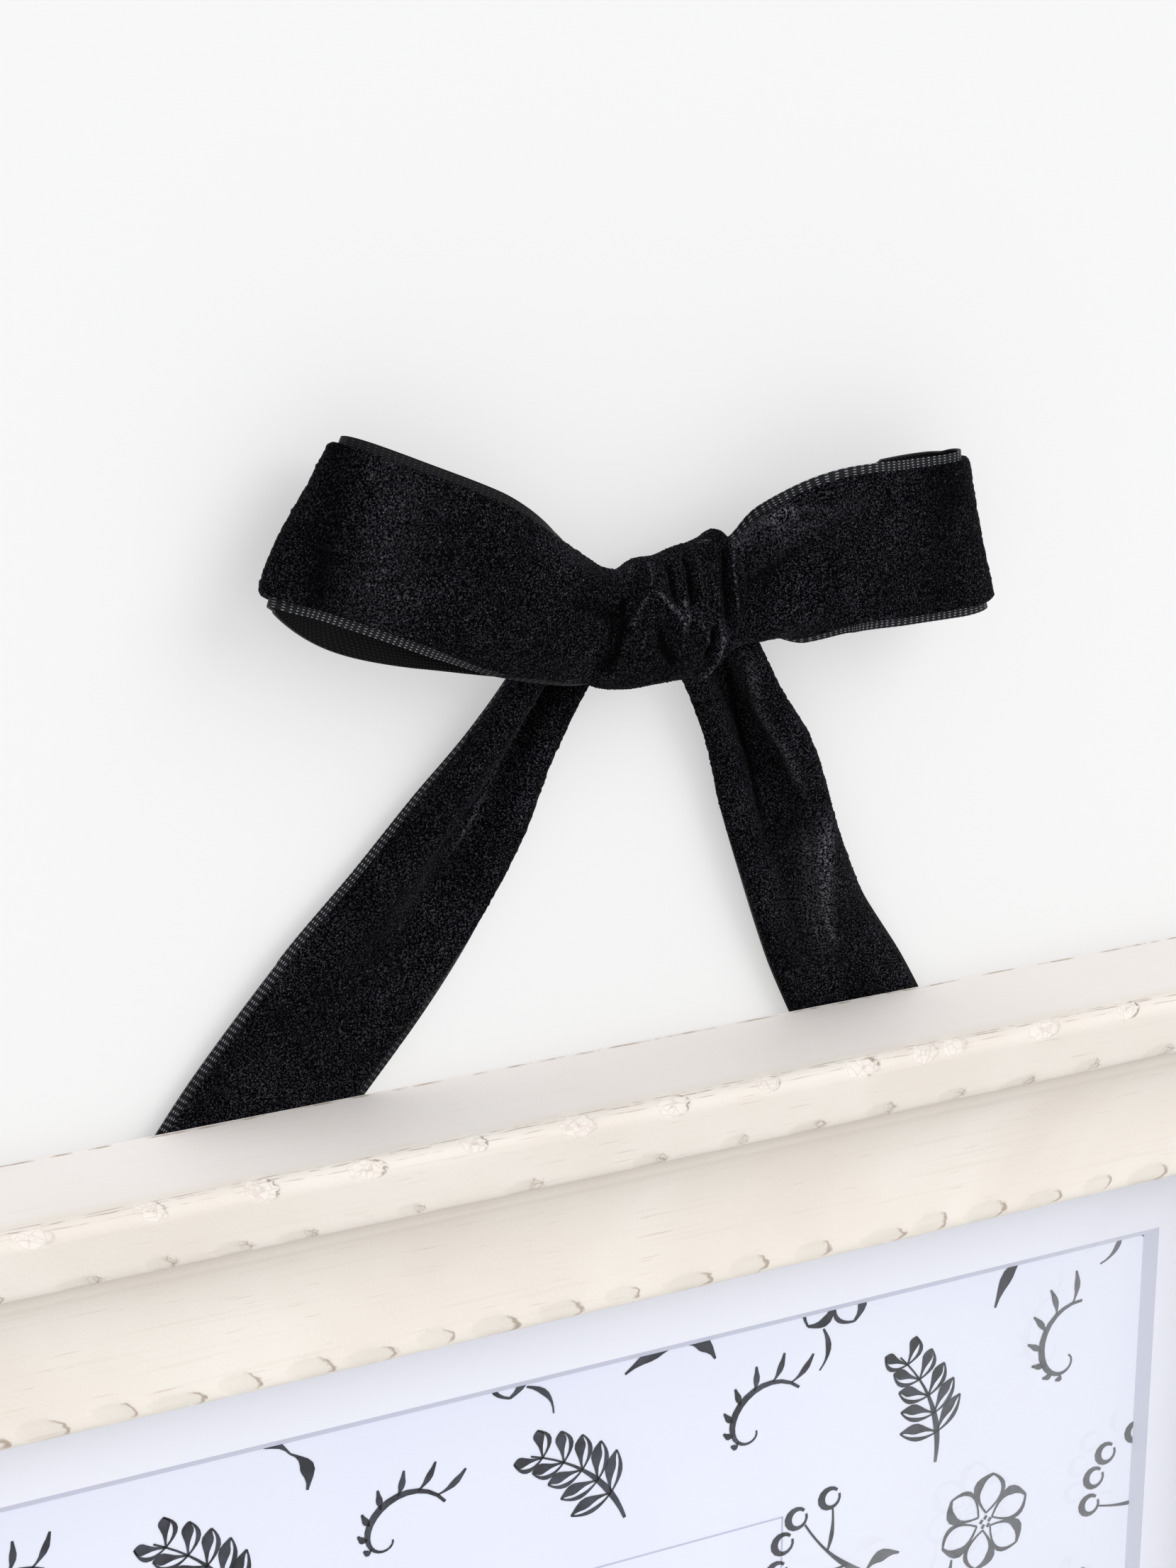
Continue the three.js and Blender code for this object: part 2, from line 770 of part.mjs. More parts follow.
for (const [side, { reach, route_shares, shape_shares }] of Object.entries(legs)) {
  const way = Math.sign(reach);
  const slope = tail_slopes_share[side];
  const free = route_shares.map(
    ([x, y, z]) => new THREE.Vector3(x * reach, -y * leg_stand, z * hanging_drop),
  );
  const held = [0, 0.5, 1].map(
    (share) =>
      new THREE.Vector3(
        reach + way * slope * share * tail_drop,
        -tail_stand,
        top_z - share * tail_drop,
      ),
  );
  const rings = ribbonStrip([...free, ...held], shape_shares, leg_pleats, leg_steps);
  const holes = staples
    .filter((staple) => staple.tail === side)
    .flatMap(({ place }) => stapleTools(place));
  const tools = [knotSolid(knot_clearance), ...holes];
  addPiece(`ribbon_${side}_leg`, cut(stripSolid(rings), tools), finishes.velvet);
}

export default frame;
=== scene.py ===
# Hanging photo frame: a carved cream moulding round a glazed and matted print, hung by a velvet ribbon
# that is tied in a bow. Metres, +Z up, the front faces -Y and the wall is the plane Y = 0.
import math

import bpy
import numpy as np
from mathutils import Matrix, Vector


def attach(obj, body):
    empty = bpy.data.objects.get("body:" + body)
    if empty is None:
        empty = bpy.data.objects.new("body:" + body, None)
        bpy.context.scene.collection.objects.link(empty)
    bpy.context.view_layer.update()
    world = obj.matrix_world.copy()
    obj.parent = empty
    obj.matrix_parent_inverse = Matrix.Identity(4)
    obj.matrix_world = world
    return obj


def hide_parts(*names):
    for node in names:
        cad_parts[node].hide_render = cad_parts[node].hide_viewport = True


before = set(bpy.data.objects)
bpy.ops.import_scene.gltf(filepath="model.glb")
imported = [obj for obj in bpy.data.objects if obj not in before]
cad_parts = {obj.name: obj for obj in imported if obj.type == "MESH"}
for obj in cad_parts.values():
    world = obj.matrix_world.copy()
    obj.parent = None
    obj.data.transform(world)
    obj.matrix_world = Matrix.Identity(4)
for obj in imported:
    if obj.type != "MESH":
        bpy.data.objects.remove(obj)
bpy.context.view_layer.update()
scene = bpy.context.scene
scene.view_settings.view_transform = "Standard"
bpy.ops.object.select_all(action="DESELECT")


# Camera
# It stands to the upper left of the bow, at the angle and distance of the photograph.
camera_place = (-0.2030, -0.3697, 0.1187)
camera_right = Vector((0.88371, -0.46803, 0.00271))
camera_up = Vector((0.13684, 0.26391, 0.95479))
camera_lens = 77.24
camera_film = 36
bpy.ops.object.camera_add(location=camera_place)
camera = bpy.context.object
camera.name = "camera"
camera.data.lens = camera_lens
camera.data.sensor_width = camera_film
camera.data.dof.use_dof = False
camera_axes = (camera_right, camera_up, camera_right.cross(camera_up))
camera.rotation_euler = Matrix(camera_axes).transposed().to_euler()
scene.camera = camera


# Room: a white wall behind the frame and a pale floor well below it
# The wall is painted plaster. From behind it lets the view through, so that the back can be looked at, and
# it stops no light.
wall_side = 6.0
wall_y = 0.0006
floor_z = -0.75
wall_white = (0.905, 0.904, 0.901, 1)
wall_even_share = 0.50
floor_white = (0.80, 0.80, 0.79, 1)


def new_material(name):
    """A material and its empty tree. The functions that make nodes fill the tree called tree."""
    material = bpy.data.materials.new(name)
    material.use_nodes = True
    material.node_tree.nodes.clear()
    return material, material.node_tree


def node(kind, inputs=None, **settings):
    """One shader node, with its settings, and each input linked to a socket or set to a value."""
    made = tree.nodes.new("ShaderNode" + kind)
    for key, value in settings.items():
        setattr(made, key, value)
    for key, value in (inputs or {}).items():
        if isinstance(value, bpy.types.NodeSocket):
            tree.links.new(value, made.inputs[key])
        else:
            made.inputs[key].default_value = value
    return made


def surface(kind, inputs):
    """The shader that a material shows."""
    node("OutputMaterial", {"Surface": node(kind, inputs).outputs[0]})


wall_paint, tree = new_material("wall_paint")
plaster = node("BsdfDiffuse", {"Color": wall_white}).outputs[0]
even = node("Emission", {"Color": wall_white}).outputs[0]
painted = node("MixShader", {0: wall_even_share, 1: plaster, 2: even}).outputs[0]
see_through = node("BsdfTransparent").outputs[0]
from_behind = node("NewGeometry").outputs["Backfacing"]
surface("MixShader", {0: from_behind, 1: painted, 2: see_through})
bpy.ops.mesh.primitive_plane_add(size=wall_side, location=(0, wall_y, 0), rotation=(math.pi / 2, 0, 0))
wall = bpy.context.object
wall.name = "wall"
wall.data.materials.append(wall_paint)
wall.visible_shadow = False
wall.visible_diffuse = False
wall.visible_glossy = False
wall.visible_transmission = False

floor_paint, tree = new_material("floor_paint")
surface("BsdfDiffuse", {"Color": floor_white})
bpy.ops.mesh.primitive_plane_add(size=wall_side, location=(0, -wall_side / 2, floor_z))
floor = bpy.context.object
floor.name = "floor"
floor.data.materials.append(floor_paint)


# Light: a broad soft light from the upper right in front, and even light from all round
# The sky is a little cooler above than below. The camera, shine and glass see a plain white in its place.
sun_strength = 1.26
sun_spread = math.radians(44)
sun_from = Vector((0.76, -1.0, 0.84))
sky_light = 0.725
sky_low = (0.75, 0.74, 0.72)
sky_high = (1.23, 1.25, 1.29)
seen_white = (0.92, 0.92, 0.92, 1)


def maths(operation, *values):
    """One sum of one to three sockets or numbers."""
    return node("Math", dict(enumerate(values)), operation=operation).outputs[0]


def blended(factor, low, high):
    """Two colours mixed by a factor. Each is three numbers or a socket."""
    low, high = [(*colour, 1) if isinstance(colour, tuple) else colour for colour in (low, high)]
    return node("Mix", {0: factor, 6: low, 7: high}, data_type="RGBA", clamp_factor=True).outputs[2]


bpy.ops.object.light_add(type="SUN", location=sun_from)
sun = bpy.context.object
sun.data.energy = sun_strength
sun.data.angle = sun_spread
sun.rotation_euler = sun_from.to_track_quat("Z", "Y").to_euler()
world = bpy.data.worlds.new("room_light")
scene.world = world
world.use_nodes = True
tree = world.node_tree
tree.nodes.clear()
rays = node("LightPath").outputs
seen = maths("MAXIMUM", rays["Is Camera Ray"], rays["Is Glossy Ray"])
seen = maths("MAXIMUM", seen, rays["Is Transmission Ray"])
looking = node("TexCoord").outputs["Generated"]
upward = node("SeparateXYZ", {0: looking}).outputs[2]
upward = node("MapRange", {0: upward, 1: -1.0, 2: 1.0}).outputs[0]
lighting = node("Background", {"Color": blended(upward, sky_low, sky_high), "Strength": sky_light})
shown = node("Background", {"Color": seen_white, "Strength": 1.0})
mixed = node("MixShader", {0: seen, 1: lighting.outputs[0], 2: shown.outputs[0]})
node("OutputWorld", {"Surface": mixed.outputs[0]})


# Rails: four lengths of one carved moulding, mitred at the corners
# Pine under satin cream paint, rubbed back. The nose is nicked with a gouge, the step is dented and the
# sight edge is chipped, all by hand. Each rail is a fine grid laid round the section and along the length.
window_width = 0.190
window_height = 0.241
mat_show = 0.0134
moulding_width = 0.030
nose_depth = 0.0204
nose_radius = 0.0021
band_width = 0.0069
band_fall = 0.0003
band_round = 0.0021
step_depth = 0.0028
scoop_depth = 0.0129
sight_depth = 0.0157
sight_round = 0.0012
rabbet_width = 0.006
lip_depth = 0.0069
mitre_gap = 0.0003
wall_gap = 0.0024
rail_top = -0.0479
frame_offset = 0.0099
sight_width = window_width + 2 * mat_show
sight_height = window_height + 2 * mat_show
outer_width = sight_width + 2 * moulding_width
outer_height = sight_height + 2 * moulding_width
middle_x = -frame_offset
middle_z = rail_top - outer_height / 2
nose_start = nose_depth - nose_radius
step_edge = nose_radius + band_width
step_foot = nose_depth - band_fall - step_depth
dent_before_round = 0.0008
chip_before_round = 0.0003


def line(start, end, count):
    """Points on a straight line, without the last."""
    share = np.linspace(0, 1, count, endpoint=False)[:, None]
    return np.array(start) * (1 - share) + np.array(end) * share


def bezier(corners, count):
    """Points on a Bezier curve of any degree, without the last."""
    share = np.linspace(0, 1, count, endpoint=False)[:, None]
    rows = [np.array(corner) * np.ones_like(share) for corner in corners]
    while len(rows) > 1:
        rows = [a * (1 - share) + b * share for a, b in zip(rows, rows[1:])]
    return rows[0]


def moulding_section(fine):
    """Across and depth of points round the section, from the outer back edge, and where its cuts lie."""
    quarter = np.linspace(math.pi, math.pi / 2, int(12 * fine) + 1)[:-1, None]
    nose = np.hstack([np.cos(quarter), np.sin(quarter)]) * nose_radius + (nose_radius, nose_start)
    edge_depth = nose_depth - band_fall
    band_end = (step_edge - band_round, edge_depth)
    step_top = (step_edge, edge_depth - band_round)
    scoop_start = (step_edge + band_round, step_foot)
    scoop_pull = (step_edge + band_round + band_width / 2, scoop_depth)
    sight_pull = (moulding_width - sight_round - band_width, scoop_depth - band_fall)
    sight_start = (moulding_width - sight_round, sight_depth)
    sight_end = (moulding_width, sight_depth - sight_round)
    rabbet_wall = moulding_width - rabbet_width
    parts = [
        line((0, 0), (0, nose_start), 10),
        nose,
        line((nose_radius, nose_depth), band_end, int(14 * fine)),
        bezier([band_end, (step_edge, edge_depth), step_top], int(6 * fine)),
        line(step_top, scoop_start, int(6 * fine)),
        bezier([scoop_start, scoop_pull, sight_pull, sight_start], int(30 * fine)),
        bezier([sight_start, (moulding_width, sight_depth), sight_end], int(7 * fine)),
        line(sight_end, (moulding_width, lip_depth), int(10 * fine)),
        line((moulding_width, lip_depth), (rabbet_wall, lip_depth), 3),
        line((rabbet_wall, lip_depth), (rabbet_wall, 0), 3),
        line((rabbet_wall, 0), (0, 0), 6),
    ]
    section = np.vstack(parts + [np.zeros((1, 2))])
    starts = np.cumsum([0] + [len(part) for part in parts])
    run = np.concatenate([[0], np.cumsum(np.linalg.norm(np.diff(section, axis=0), axis=1))])
    marks = {
        "nick": (run[starts[1]] + run[starts[2]]) / 2,
        "dent": (run[starts[3]] + run[starts[4]]) / 2 - dent_before_round,
        "chip": run[starts[6]] - chip_before_round,
    }
    return section, run, marks


def lofted(name, points, along, round_, attributes=None):
    """A grid laid on rows of points: each row is one closed section, and both ends are filled."""
    rows, columns = points.shape[:2]
    bpy.ops.mesh.primitive_grid_add(x_subdivisions=columns - 1, y_subdivisions=rows - 1, size=1)
    piece = bpy.context.object
    piece.name = name
    mesh = piece.data
    mesh.name = name
    mesh.vertices.foreach_set("co", points.reshape(-1))
    corner = np.empty(len(mesh.loops), dtype=int)
    mesh.loops.foreach_get("vertex_index", corner)
    places = np.stack([along[corner // columns], round_[corner % columns]], axis=1)
    mesh.uv_layers[0].data.foreach_set("uv", places.reshape(-1))
    for key, values in (attributes or {}).items():
        layer = mesh.attributes.new(key, "FLOAT", "POINT")
        layer.data.foreach_set("value", values.reshape(-1))
    bpy.ops.object.mode_set(mode="EDIT")
    bpy.ops.mesh.select_all(action="SELECT")
    bpy.ops.mesh.remove_doubles(threshold=0.000001)
    bpy.ops.mesh.fill_holes(sides=0)
    bpy.ops.mesh.select_all(action="SELECT")
    bpy.ops.mesh.normals_make_consistent(inside=False)
    bpy.ops.object.mode_set(mode="OBJECT")
    bpy.ops.object.shade_smooth_by_angle(angle=math.radians(50))
    return piece


# How unevenly the cuts are made by hand, as shares of a cut's own sizes, and a place far from all cuts
uneven_length = 0.20
uneven_width = 0.15
uneven_place = 0.10
uneven_depth = 0.25
far_out = 3.0


def gouges(x, run, centre, places, length, width, depth, lean):
    """Bowl cuts along a line of the section: how deep, how far out of the nearest, and which side of it."""
    deep = np.zeros((len(x), len(run)))
    reach = np.full_like(deep, far_out)
    beside = np.zeros_like(deep)
    for count, place in enumerate(places):
        uneven = math.sin(2.3 * count + 1.0)
        half = length * (1 + uneven_length * uneven) / 2
        across = width * (1 + uneven_width * math.sin(1.7 * count)) / 2
        t = (x - place)[:, None] / half + 0 * run[None, :]
        q = (run - centre - uneven_place * width * uneven)[None, :] / across
        out_of = np.sqrt(t**2 + q**2)
        bowl = np.sqrt(np.clip(1 - out_of**2, 0, None))
        cut = depth * (1 + uneven_depth * uneven) * bowl * (1 - lean + lean * np.clip(t, -1, 1))
        deep = np.maximum(deep, cut)
        nearer = out_of < reach
        beside = np.where(nearer, np.clip(t, -1.5, 1.5), beside)
        reach = np.where(nearer, out_of, reach)
    return deep, reach, beside


# Places of the cuts on the top rail, along X; the other rails have the same cuts at an uneven pitch
top_nicks = [-0.1322, -0.1165, -0.1022, -0.0884, -0.0740, -0.0606, -0.0473, -0.0332, -0.0194, -0.0062]
top_nicks += [0.0073, 0.0210, 0.0305, 0.0350, 0.0489, 0.0623, 0.0764, 0.0901, 0.1040]
top_dents = [-0.1242, -0.1121, -0.0987, -0.0873, -0.0768, -0.0675, -0.0590, -0.0437, -0.0279, -0.0098]
top_dents += [0.0030, 0.0141, 0.0255, 0.0369, 0.0480, 0.0591, 0.0716, 0.0852, 0.0963]
top_chips = [-0.1163, -0.1062, -0.0952, -0.0859, -0.0755, -0.0643, -0.0546, -0.0435, -0.0337, -0.0223]
top_chips += [-0.0112, 0.0005, 0.0116, 0.0237, 0.0370, 0.0464, 0.0573, 0.0686, 0.0798, 0.0905]
# Length, width, depth and lean of each kind of cut. One that leans is deepest towards its far end
cut_kinds = {
    "nick": (0.0042, 0.0031, 0.00032, 0.25),
    "dent": (0.0052, 0.0021, 0.00026, 0.30),
    "chip": (0.0078, 0.0027, 0.00030, 0.20),
}
cut_pitches = (0.0137, 0.0128, 0.0109)
cut_margin = 0.016
mitre_margin = 0.012
grain_shift = 0.2
# Slow waves worn along the step and the nose: depth, angle in a metre and angle at the middle
worn_waves = [(0.00004, 410, 1), (0.00005, 173, 0), (0.00002, 890, 2)]
worn_step_reach = 0.0016
worn_nose_reach = 0.0022
worn_nose_share = 0.6
worn_nose_shift = 9


def uneven_places(length, pitch, margin):
    """Places at an uneven pitch that keep clear of the mitres."""
    count = int((length - 2 * margin) / pitch) + 1
    steps = np.arange(count)
    return (steps - (count - 1) / 2) * pitch + 0.16 * pitch * np.sin(1.7 * steps + 1)


def carved_rail(name, length, turn, out_x, out_z, cuts, shares, fine):
    """One rail with its cuts, turned into its place in the frame."""
    section, run, marks = moulding_section(fine)
    tangent = np.gradient(section, run + 1e-9 * np.arange(len(run)), axis=0)
    normal = np.stack([-tangent[:, 1], tangent[:, 0]], axis=1)
    normal /= np.linalg.norm(normal, axis=1, keepdims=True)
    half = length / 2 - section[:, 0] - mitre_gap / 2
    x = (shares[:, None] - 0.5) * 2 * half[None, :]
    middle = x[:, len(run) // 3]
    inward = np.zeros_like(x)
    attributes = {}
    for places, (kind, sizes) in zip(cuts, cut_kinds.items()):
        deep, out_of, beside = gouges(middle, run, marks[kind], places, *sizes)
        inward += deep
        attributes[f"{kind}_out"] = out_of
        attributes[f"{kind}_side"] = beside
    near_step = np.exp(-(((run - marks["dent"]) / worn_step_reach) ** 2))
    near_nose = np.exp(-(((run - marks["nick"]) / worn_nose_reach) ** 2))
    wave = sum(deep * np.sin(middle * pace + start) for deep, pace, start in worn_waves)
    worn = wave[:, None] * near_step[None, :]
    worn += worn_nose_share * np.roll(wave, worn_nose_shift)[:, None] * near_nose[None, :]
    inward += np.clip(worn, 0, None)
    inward *= np.clip((np.abs(shares - 0.5) * -2 + 1) * length / mitre_margin, 0, 1)[:, None]
    across = section[None, :, 0] - inward * normal[None, :, 0]
    depth = section[None, :, 1] - inward * normal[None, :, 1]
    angle = turn * math.pi / 2
    spun_x = x * math.cos(angle) - across * math.sin(angle)
    spun_z = -x * math.sin(angle) - across * math.cos(angle)
    points = np.stack([spun_x + middle_x + out_x, -wall_gap - depth, spun_z + middle_z + out_z], axis=2)
    return lofted(name, points, middle + grain_shift * turn, run, attributes)


def ramp(value, low, high, at_low=0.0, at_high=1.0):
    """A straight step from one grey to another."""
    made = node("ValToRGB", {0: value})
    for stop, place, grey in zip(made.color_ramp.elements, (low, high), (at_low, at_high)):
        stop.position = place
        stop.color = (grey, grey, grey, 1)
    return made.outputs[0]


def stepped(value, low, high, at_low=0.0, at_high=1.0):
    """A soft step from one value to another."""
    facts = {0: value, 1: low, 2: high, 3: at_low, 4: at_high}
    return node("MapRange", facts, interpolation_type="SMOOTHSTEP").outputs[0]


def thin_line(value, at, wide, dark):
    """A soft line where a value passes a mark."""
    return stepped(maths("ABSOLUTE", maths("SUBTRACT", value, at)), 0.0, wide, dark, 0.0)


def noise(place, scale, detail, roughness=0.5, distortion=0.0):
    """Cloudy noise from 0 to 1."""
    facts = {"Vector": place, "Scale": scale, "Detail": detail}
    facts.update({"Roughness": roughness, "Distortion": distortion})
    return node("TexNoise", facts).outputs[0]


def stretched(place, scale, shift=(0, 0, 0)):
    """Places scaled along each axis."""
    return node("Mapping", {0: place, 1: shift, 3: scale}).outputs[0]


def bumps(height, strength, distance):
    """The normal of a surface with small bumps."""
    return node("Bump", {"Height": height, "Strength": strength, "Distance": distance}).outputs[0]


def finish(colour, roughness, normal=None, specular=0.5, extra=None):
    """The look of a solid surface: its colour, how rough it is, its bumps and how strongly it shines."""
    facts = {"Base Color": colour, "Roughness": roughness, "Specular IOR Level": specular}
    if normal is not None:
        facts["Normal"] = normal
    surface("BsdfPrincipled", {**facts, **(extra or {})})


cream = (0.787, 0.722, 0.648)
cream_pale = (0.838, 0.786, 0.724)
cream_grain = (0.660, 0.570, 0.480)
side_painted_light = (0.870, 0.822, 0.802)
nick_white = (0.845, 0.795, 0.740)
crease_brown = (0.300, 0.205, 0.140)
dash_brown = (0.500, 0.370, 0.285)
chip_grey = (0.600, 0.560, 0.480)
step_foot_shade_grey = (0.560, 0.500, 0.435)
# The foot of the step as a run round the section, and how far painted shade lies before and beyond it
step_run = 0.0012
foot_at = nose_start + nose_radius * math.pi / 2 + band_width + step_run
shade_before_foot = 0.0016
shade_beyond_foot = 0.0045
side_light_fade = 0.003

cream_paint, tree = new_material("cream_paint")
face = node("UVMap", uv_map="UVMap").outputs[0]
height = node("SeparateXYZ", {0: face}).outputs[1]
cloudy = noise(face, 38.0, 3.0)
streaks = noise(stretched(face, (26.0, 1500.0, 1.0)), 1.0, 4.0, roughness=0.6)
dashes = noise(stretched(face, (110.0, 3000.0, 1.0)), 1.0, 2.0)
frayed = noise(face, 900.0, 3.0)
colour = blended(ramp(cloudy, 0.35, 0.68), cream, cream_pale)
colour = blended(ramp(streaks, 0.57, 0.74, 0.0, 0.28), colour, cream_grain)
colour = blended(ramp(dashes, 0.66, 0.74, 0.0, 0.36), colour, dash_brown)
# Painted shade: darker paint in the recess at the foot of the step, where the step's shadow falls
step_foot_shade = stepped(height, foot_at, foot_at + shade_beyond_foot, 0.38, 0.0)
step_foot_shade = maths("MULTIPLY", step_foot_shade, maths("GREATER_THAN", height, foot_at - shade_before_foot))
colour = blended(step_foot_shade, colour, step_foot_shade_grey)

# Painted light: the outer side is painted paler and cooler than the face, as if lit by cool light from
# above
side_light_share = stepped(height, nose_start - side_light_fade, nose_start, 0.55, 0.0)
colour = blended(side_light_share, colour, side_painted_light)

# A thin dark brown line along the back edge, against the wall, and wisps of bare wood along the nose's top,
# from nick to nick
# Each has its run round the section, its width, how dark it is and a seed
wisps = [
    (0.0004, 0.00040, 0.75, 14.0),
    (nose_start + 0.0001, 0.00020, 0.60, 1.0),
    (nose_start + 0.0006, 0.00016, 0.72, 4.0),
    (nose_start + 0.0015, 0.00013, 0.45, 9.0),
]
wisp_sway = 0.0012
for place, wide, dark, seed in wisps:
    wander = stretched(face, (70.0, 0.0, 0.0), (seed, 0, 0))
    shifted = maths("MULTIPLY_ADD", noise(wander, 1.0, 5.0), wisp_sway, height)
    wisp = thin_line(shifted, place + wisp_sway / 2, wide, dark)
    wisp = maths("MULTIPLY", wisp, ramp(noise(wander, 3.0, 3.0), 0.46, 0.57))
    colour = blended(wisp, colour, crease_brown)


def cut_marks(kind, blur):
    """How far in or out of the nearest cut of a kind, with a frayed outline, and which side of it."""
    out_of = node("Attribute", attribute_name=f"{kind}_out").outputs["Fac"]
    beside = node("Attribute", attribute_name=f"{kind}_side").outputs["Fac"]
    return maths("ADD", out_of, maths("MULTIPLY", maths("SUBTRACT", frayed, 0.5), blur)), beside


cracks = node("TexVoronoi", {"Vector": face, "Scale": 780.0}, feature="DISTANCE_TO_EDGE").outputs[0]
cracks = stepped(cracks, 0.0, 0.09, 1.0, 0.0)

# Nicks: paler inside, cracked round the middle, with a brown heart and a broken dark brown rim at the far
# end
out_of, beside = cut_marks("nick", 0.9)
far_end = stepped(beside, 0.15, 0.7)
colour = blended(stepped(out_of, 0.75, 1.15, 0.62, 0.0), colour, nick_white)
split = maths("MULTIPLY", cracks, stepped(out_of, 0.6, 1.1, 0.32, 0.0))
colour = blended(split, colour, dash_brown)
heart = maths("MULTIPLY", stepped(out_of, 0.1, 0.6, 0.55, 0.0), stepped(frayed, 0.48, 0.62))
colour = blended(heart, colour, dash_brown)
rim_breakup = maths("MULTIPLY", stepped(cloudy, 0.40, 0.52), stepped(frayed, 0.40, 0.55))
rim = maths("MULTIPLY", thin_line(out_of, 1.0, 0.11, 0.85), rim_breakup)
colour = blended(maths("MULTIPLY", rim, far_end), colour, crease_brown)
colour = blended(thin_line(out_of, 0.96, 0.10, 0.14), colour, crease_brown)

# Dents: greyer inside, hatched and cracked at the far end, with a brown rim there
out_of, beside = cut_marks("dent", 0.6)
far_end = stepped(beside, 0.2, 0.8)
colour = blended(stepped(out_of, 0.8, 1.05, 0.22, 0.0), colour, chip_grey)
hatch = noise(stretched(face, (2400.0, 300.0, 1.0)), 1.0, 2.0)
hatched = maths("MULTIPLY", far_end, stepped(out_of, 0.7, 1.1, 0.8, 0.0))
colour = blended(maths("MULTIPLY", hatched, stepped(hatch, 0.4, 0.6)), colour, chip_grey)
rough_end = maths("MULTIPLY", far_end, stepped(out_of, 0.9, 1.4, 0.6, 0.0))
colour = blended(maths("MULTIPLY", cracks, rough_end), colour, crease_brown)
rim = thin_line(out_of, 1.0, 0.12, 0.3)
colour = blended(maths("MULTIPLY", rim, far_end), colour, crease_brown)

# Chips: a grey hollow with a dark wedge at the far end
out_of, beside = cut_marks("chip", 0.5)
far_end = stepped(beside, 0.4, 0.9)
colour = blended(stepped(out_of, 0.85, 1.05, 0.25, 0.0), colour, chip_grey)
colour = blended(thin_line(out_of, 1.0, 0.09, 0.16), colour, chip_grey)
wedge = thin_line(out_of, 0.95, 0.14, 0.7)
colour = blended(maths("MULTIPLY", wedge, far_end), colour, crease_brown)

relief = maths("MULTIPLY_ADD", streaks, 0.7, noise(face, 1400.0, 3.0))
satin = node("MapRange", {0: cloudy, 3: 0.46, 4: 0.62}).outputs[0]
finish(colour, satin, bumps(relief, 0.12, 0.0004), 0.35)

# The top rail has its finest rows where the photograph looks at it
fine_from = 0.16
left_shares = np.linspace(0, fine_from, 60)[:-1]
near_shares = np.linspace(fine_from, 1 - fine_from, 600)
top_shares = np.concatenate([left_shares, near_shares, np.linspace(1 - fine_from, 1, 60)[1:]])
top_cuts = [np.array(places) + frame_offset for places in (top_nicks, top_dents, top_chips)]
side_cuts = [uneven_places(outer_height, pitch, cut_margin) for pitch in cut_pitches]
bottom_cuts = [uneven_places(outer_width, pitch, cut_margin) for pitch in cut_pitches]
side_shares = np.linspace(0, 1, 480)
rails = [
    carved_rail("carved_top_rail", outer_width, 0, 0, outer_height / 2, top_cuts, top_shares, 1.0),
    carved_rail("carved_right_rail", outer_height, 1, outer_width / 2, 0, side_cuts, side_shares, 0.7),
    carved_rail("carved_bottom_rail", outer_width, 2, 0, -outer_height / 2, bottom_cuts, side_shares, 0.7),
    carved_rail("carved_left_rail", outer_height, 3, -outer_width / 2, 0, side_cuts, side_shares, 0.7),
]
for rail, place in zip(rails, ("top", "right", "bottom", "left")):
    rail.data.materials.append(cream_paint)
    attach(rail, "frame")
    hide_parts(f"{place}_rail")


# Corner nails and staples
# Bright zinc-plated steel, as stamped and drawn. Pressed into the wood, they keep their own solids.
zinc = (0.60, 0.61, 0.63)
zinc_dark = (0.43, 0.44, 0.46)


def dressed(name, material):
    """A piece that keeps its own solid gets its material."""
    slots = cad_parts[name].data.materials
    slots.clear()
    slots.append(material)


zinc_steel, tree = new_material("zinc_steel")
spot = node("TexCoord").outputs["Object"]
spangle = node("TexVoronoi", {"Vector": spot, "Scale": 900.0}).outputs[0]
blur = noise(spot, 350.0, 3.0)
colour = blended(ramp(maths("MULTIPLY", spangle, blur), 0.05, 0.5), zinc, zinc_dark)
bright = node("MapRange", {0: blur, 3: 0.24, 4: 0.46}).outputs[0]
finish(colour, bright, bumps(blur, 0.1, 0.0001), extra={"Metallic": 1.0})
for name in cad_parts:
    if name.startswith(("v_nail", "staple")):
        dressed(name, zinc_steel)


# Glass: one clear pane in the rabbet
# Float glass, hardly seen from the front but for a faint shine.
glass_tint = (0.998, 1.0, 0.999, 1)
glass_bend = 1.45
shine_share = 0.2

clear_glass, tree = new_material("clear_glass")
through = node("BsdfTransparent", {"Color": glass_tint}).outputs[0]
shine = node("BsdfGlossy", {"Color": (1, 1, 1, 1), "Roughness": 0.02}).outputs[0]
edge_on = node("Fresnel", {"IOR": glass_bend}).outputs[0]
surface("MixShader", {0: maths("MULTIPLY", edge_on, shine_share), 1: through, 2: shine})
dressed("glass_pane", clear_glass)


# Window mat: a white card with a bevelled opening
# Matte board with a faint tooth. The bevel is painted a darker blue-grey, as painted shade.
mat_white = (0.925, 0.928, 1.0)
mat_shade = (0.912, 0.916, 1.0)
mat_bevel_shade = (0.690, 0.700, 0.820)

mat_board, tree = new_material("mat_board")
spot = node("TexCoord").outputs["Object"]
colour = blended(ramp(noise(spot, 14.0, 2.0), 0.35, 0.65), mat_white, mat_shade)
facing = node("SeparateXYZ", {0: node("NewGeometry").outputs["Normal"]}).outputs[1]
# Painted shade on the bevel faces, which face aside
bevel = ramp(maths("ABSOLUTE", facing), 0.90, 0.95, 1.0, 0.0)
finish(blended(bevel, colour, mat_bevel_shade), 0.92, bumps(noise(spot, 2200.0, 4.0), 0.12, 0.0001), 0.2)
dressed("window_mat", mat_board)


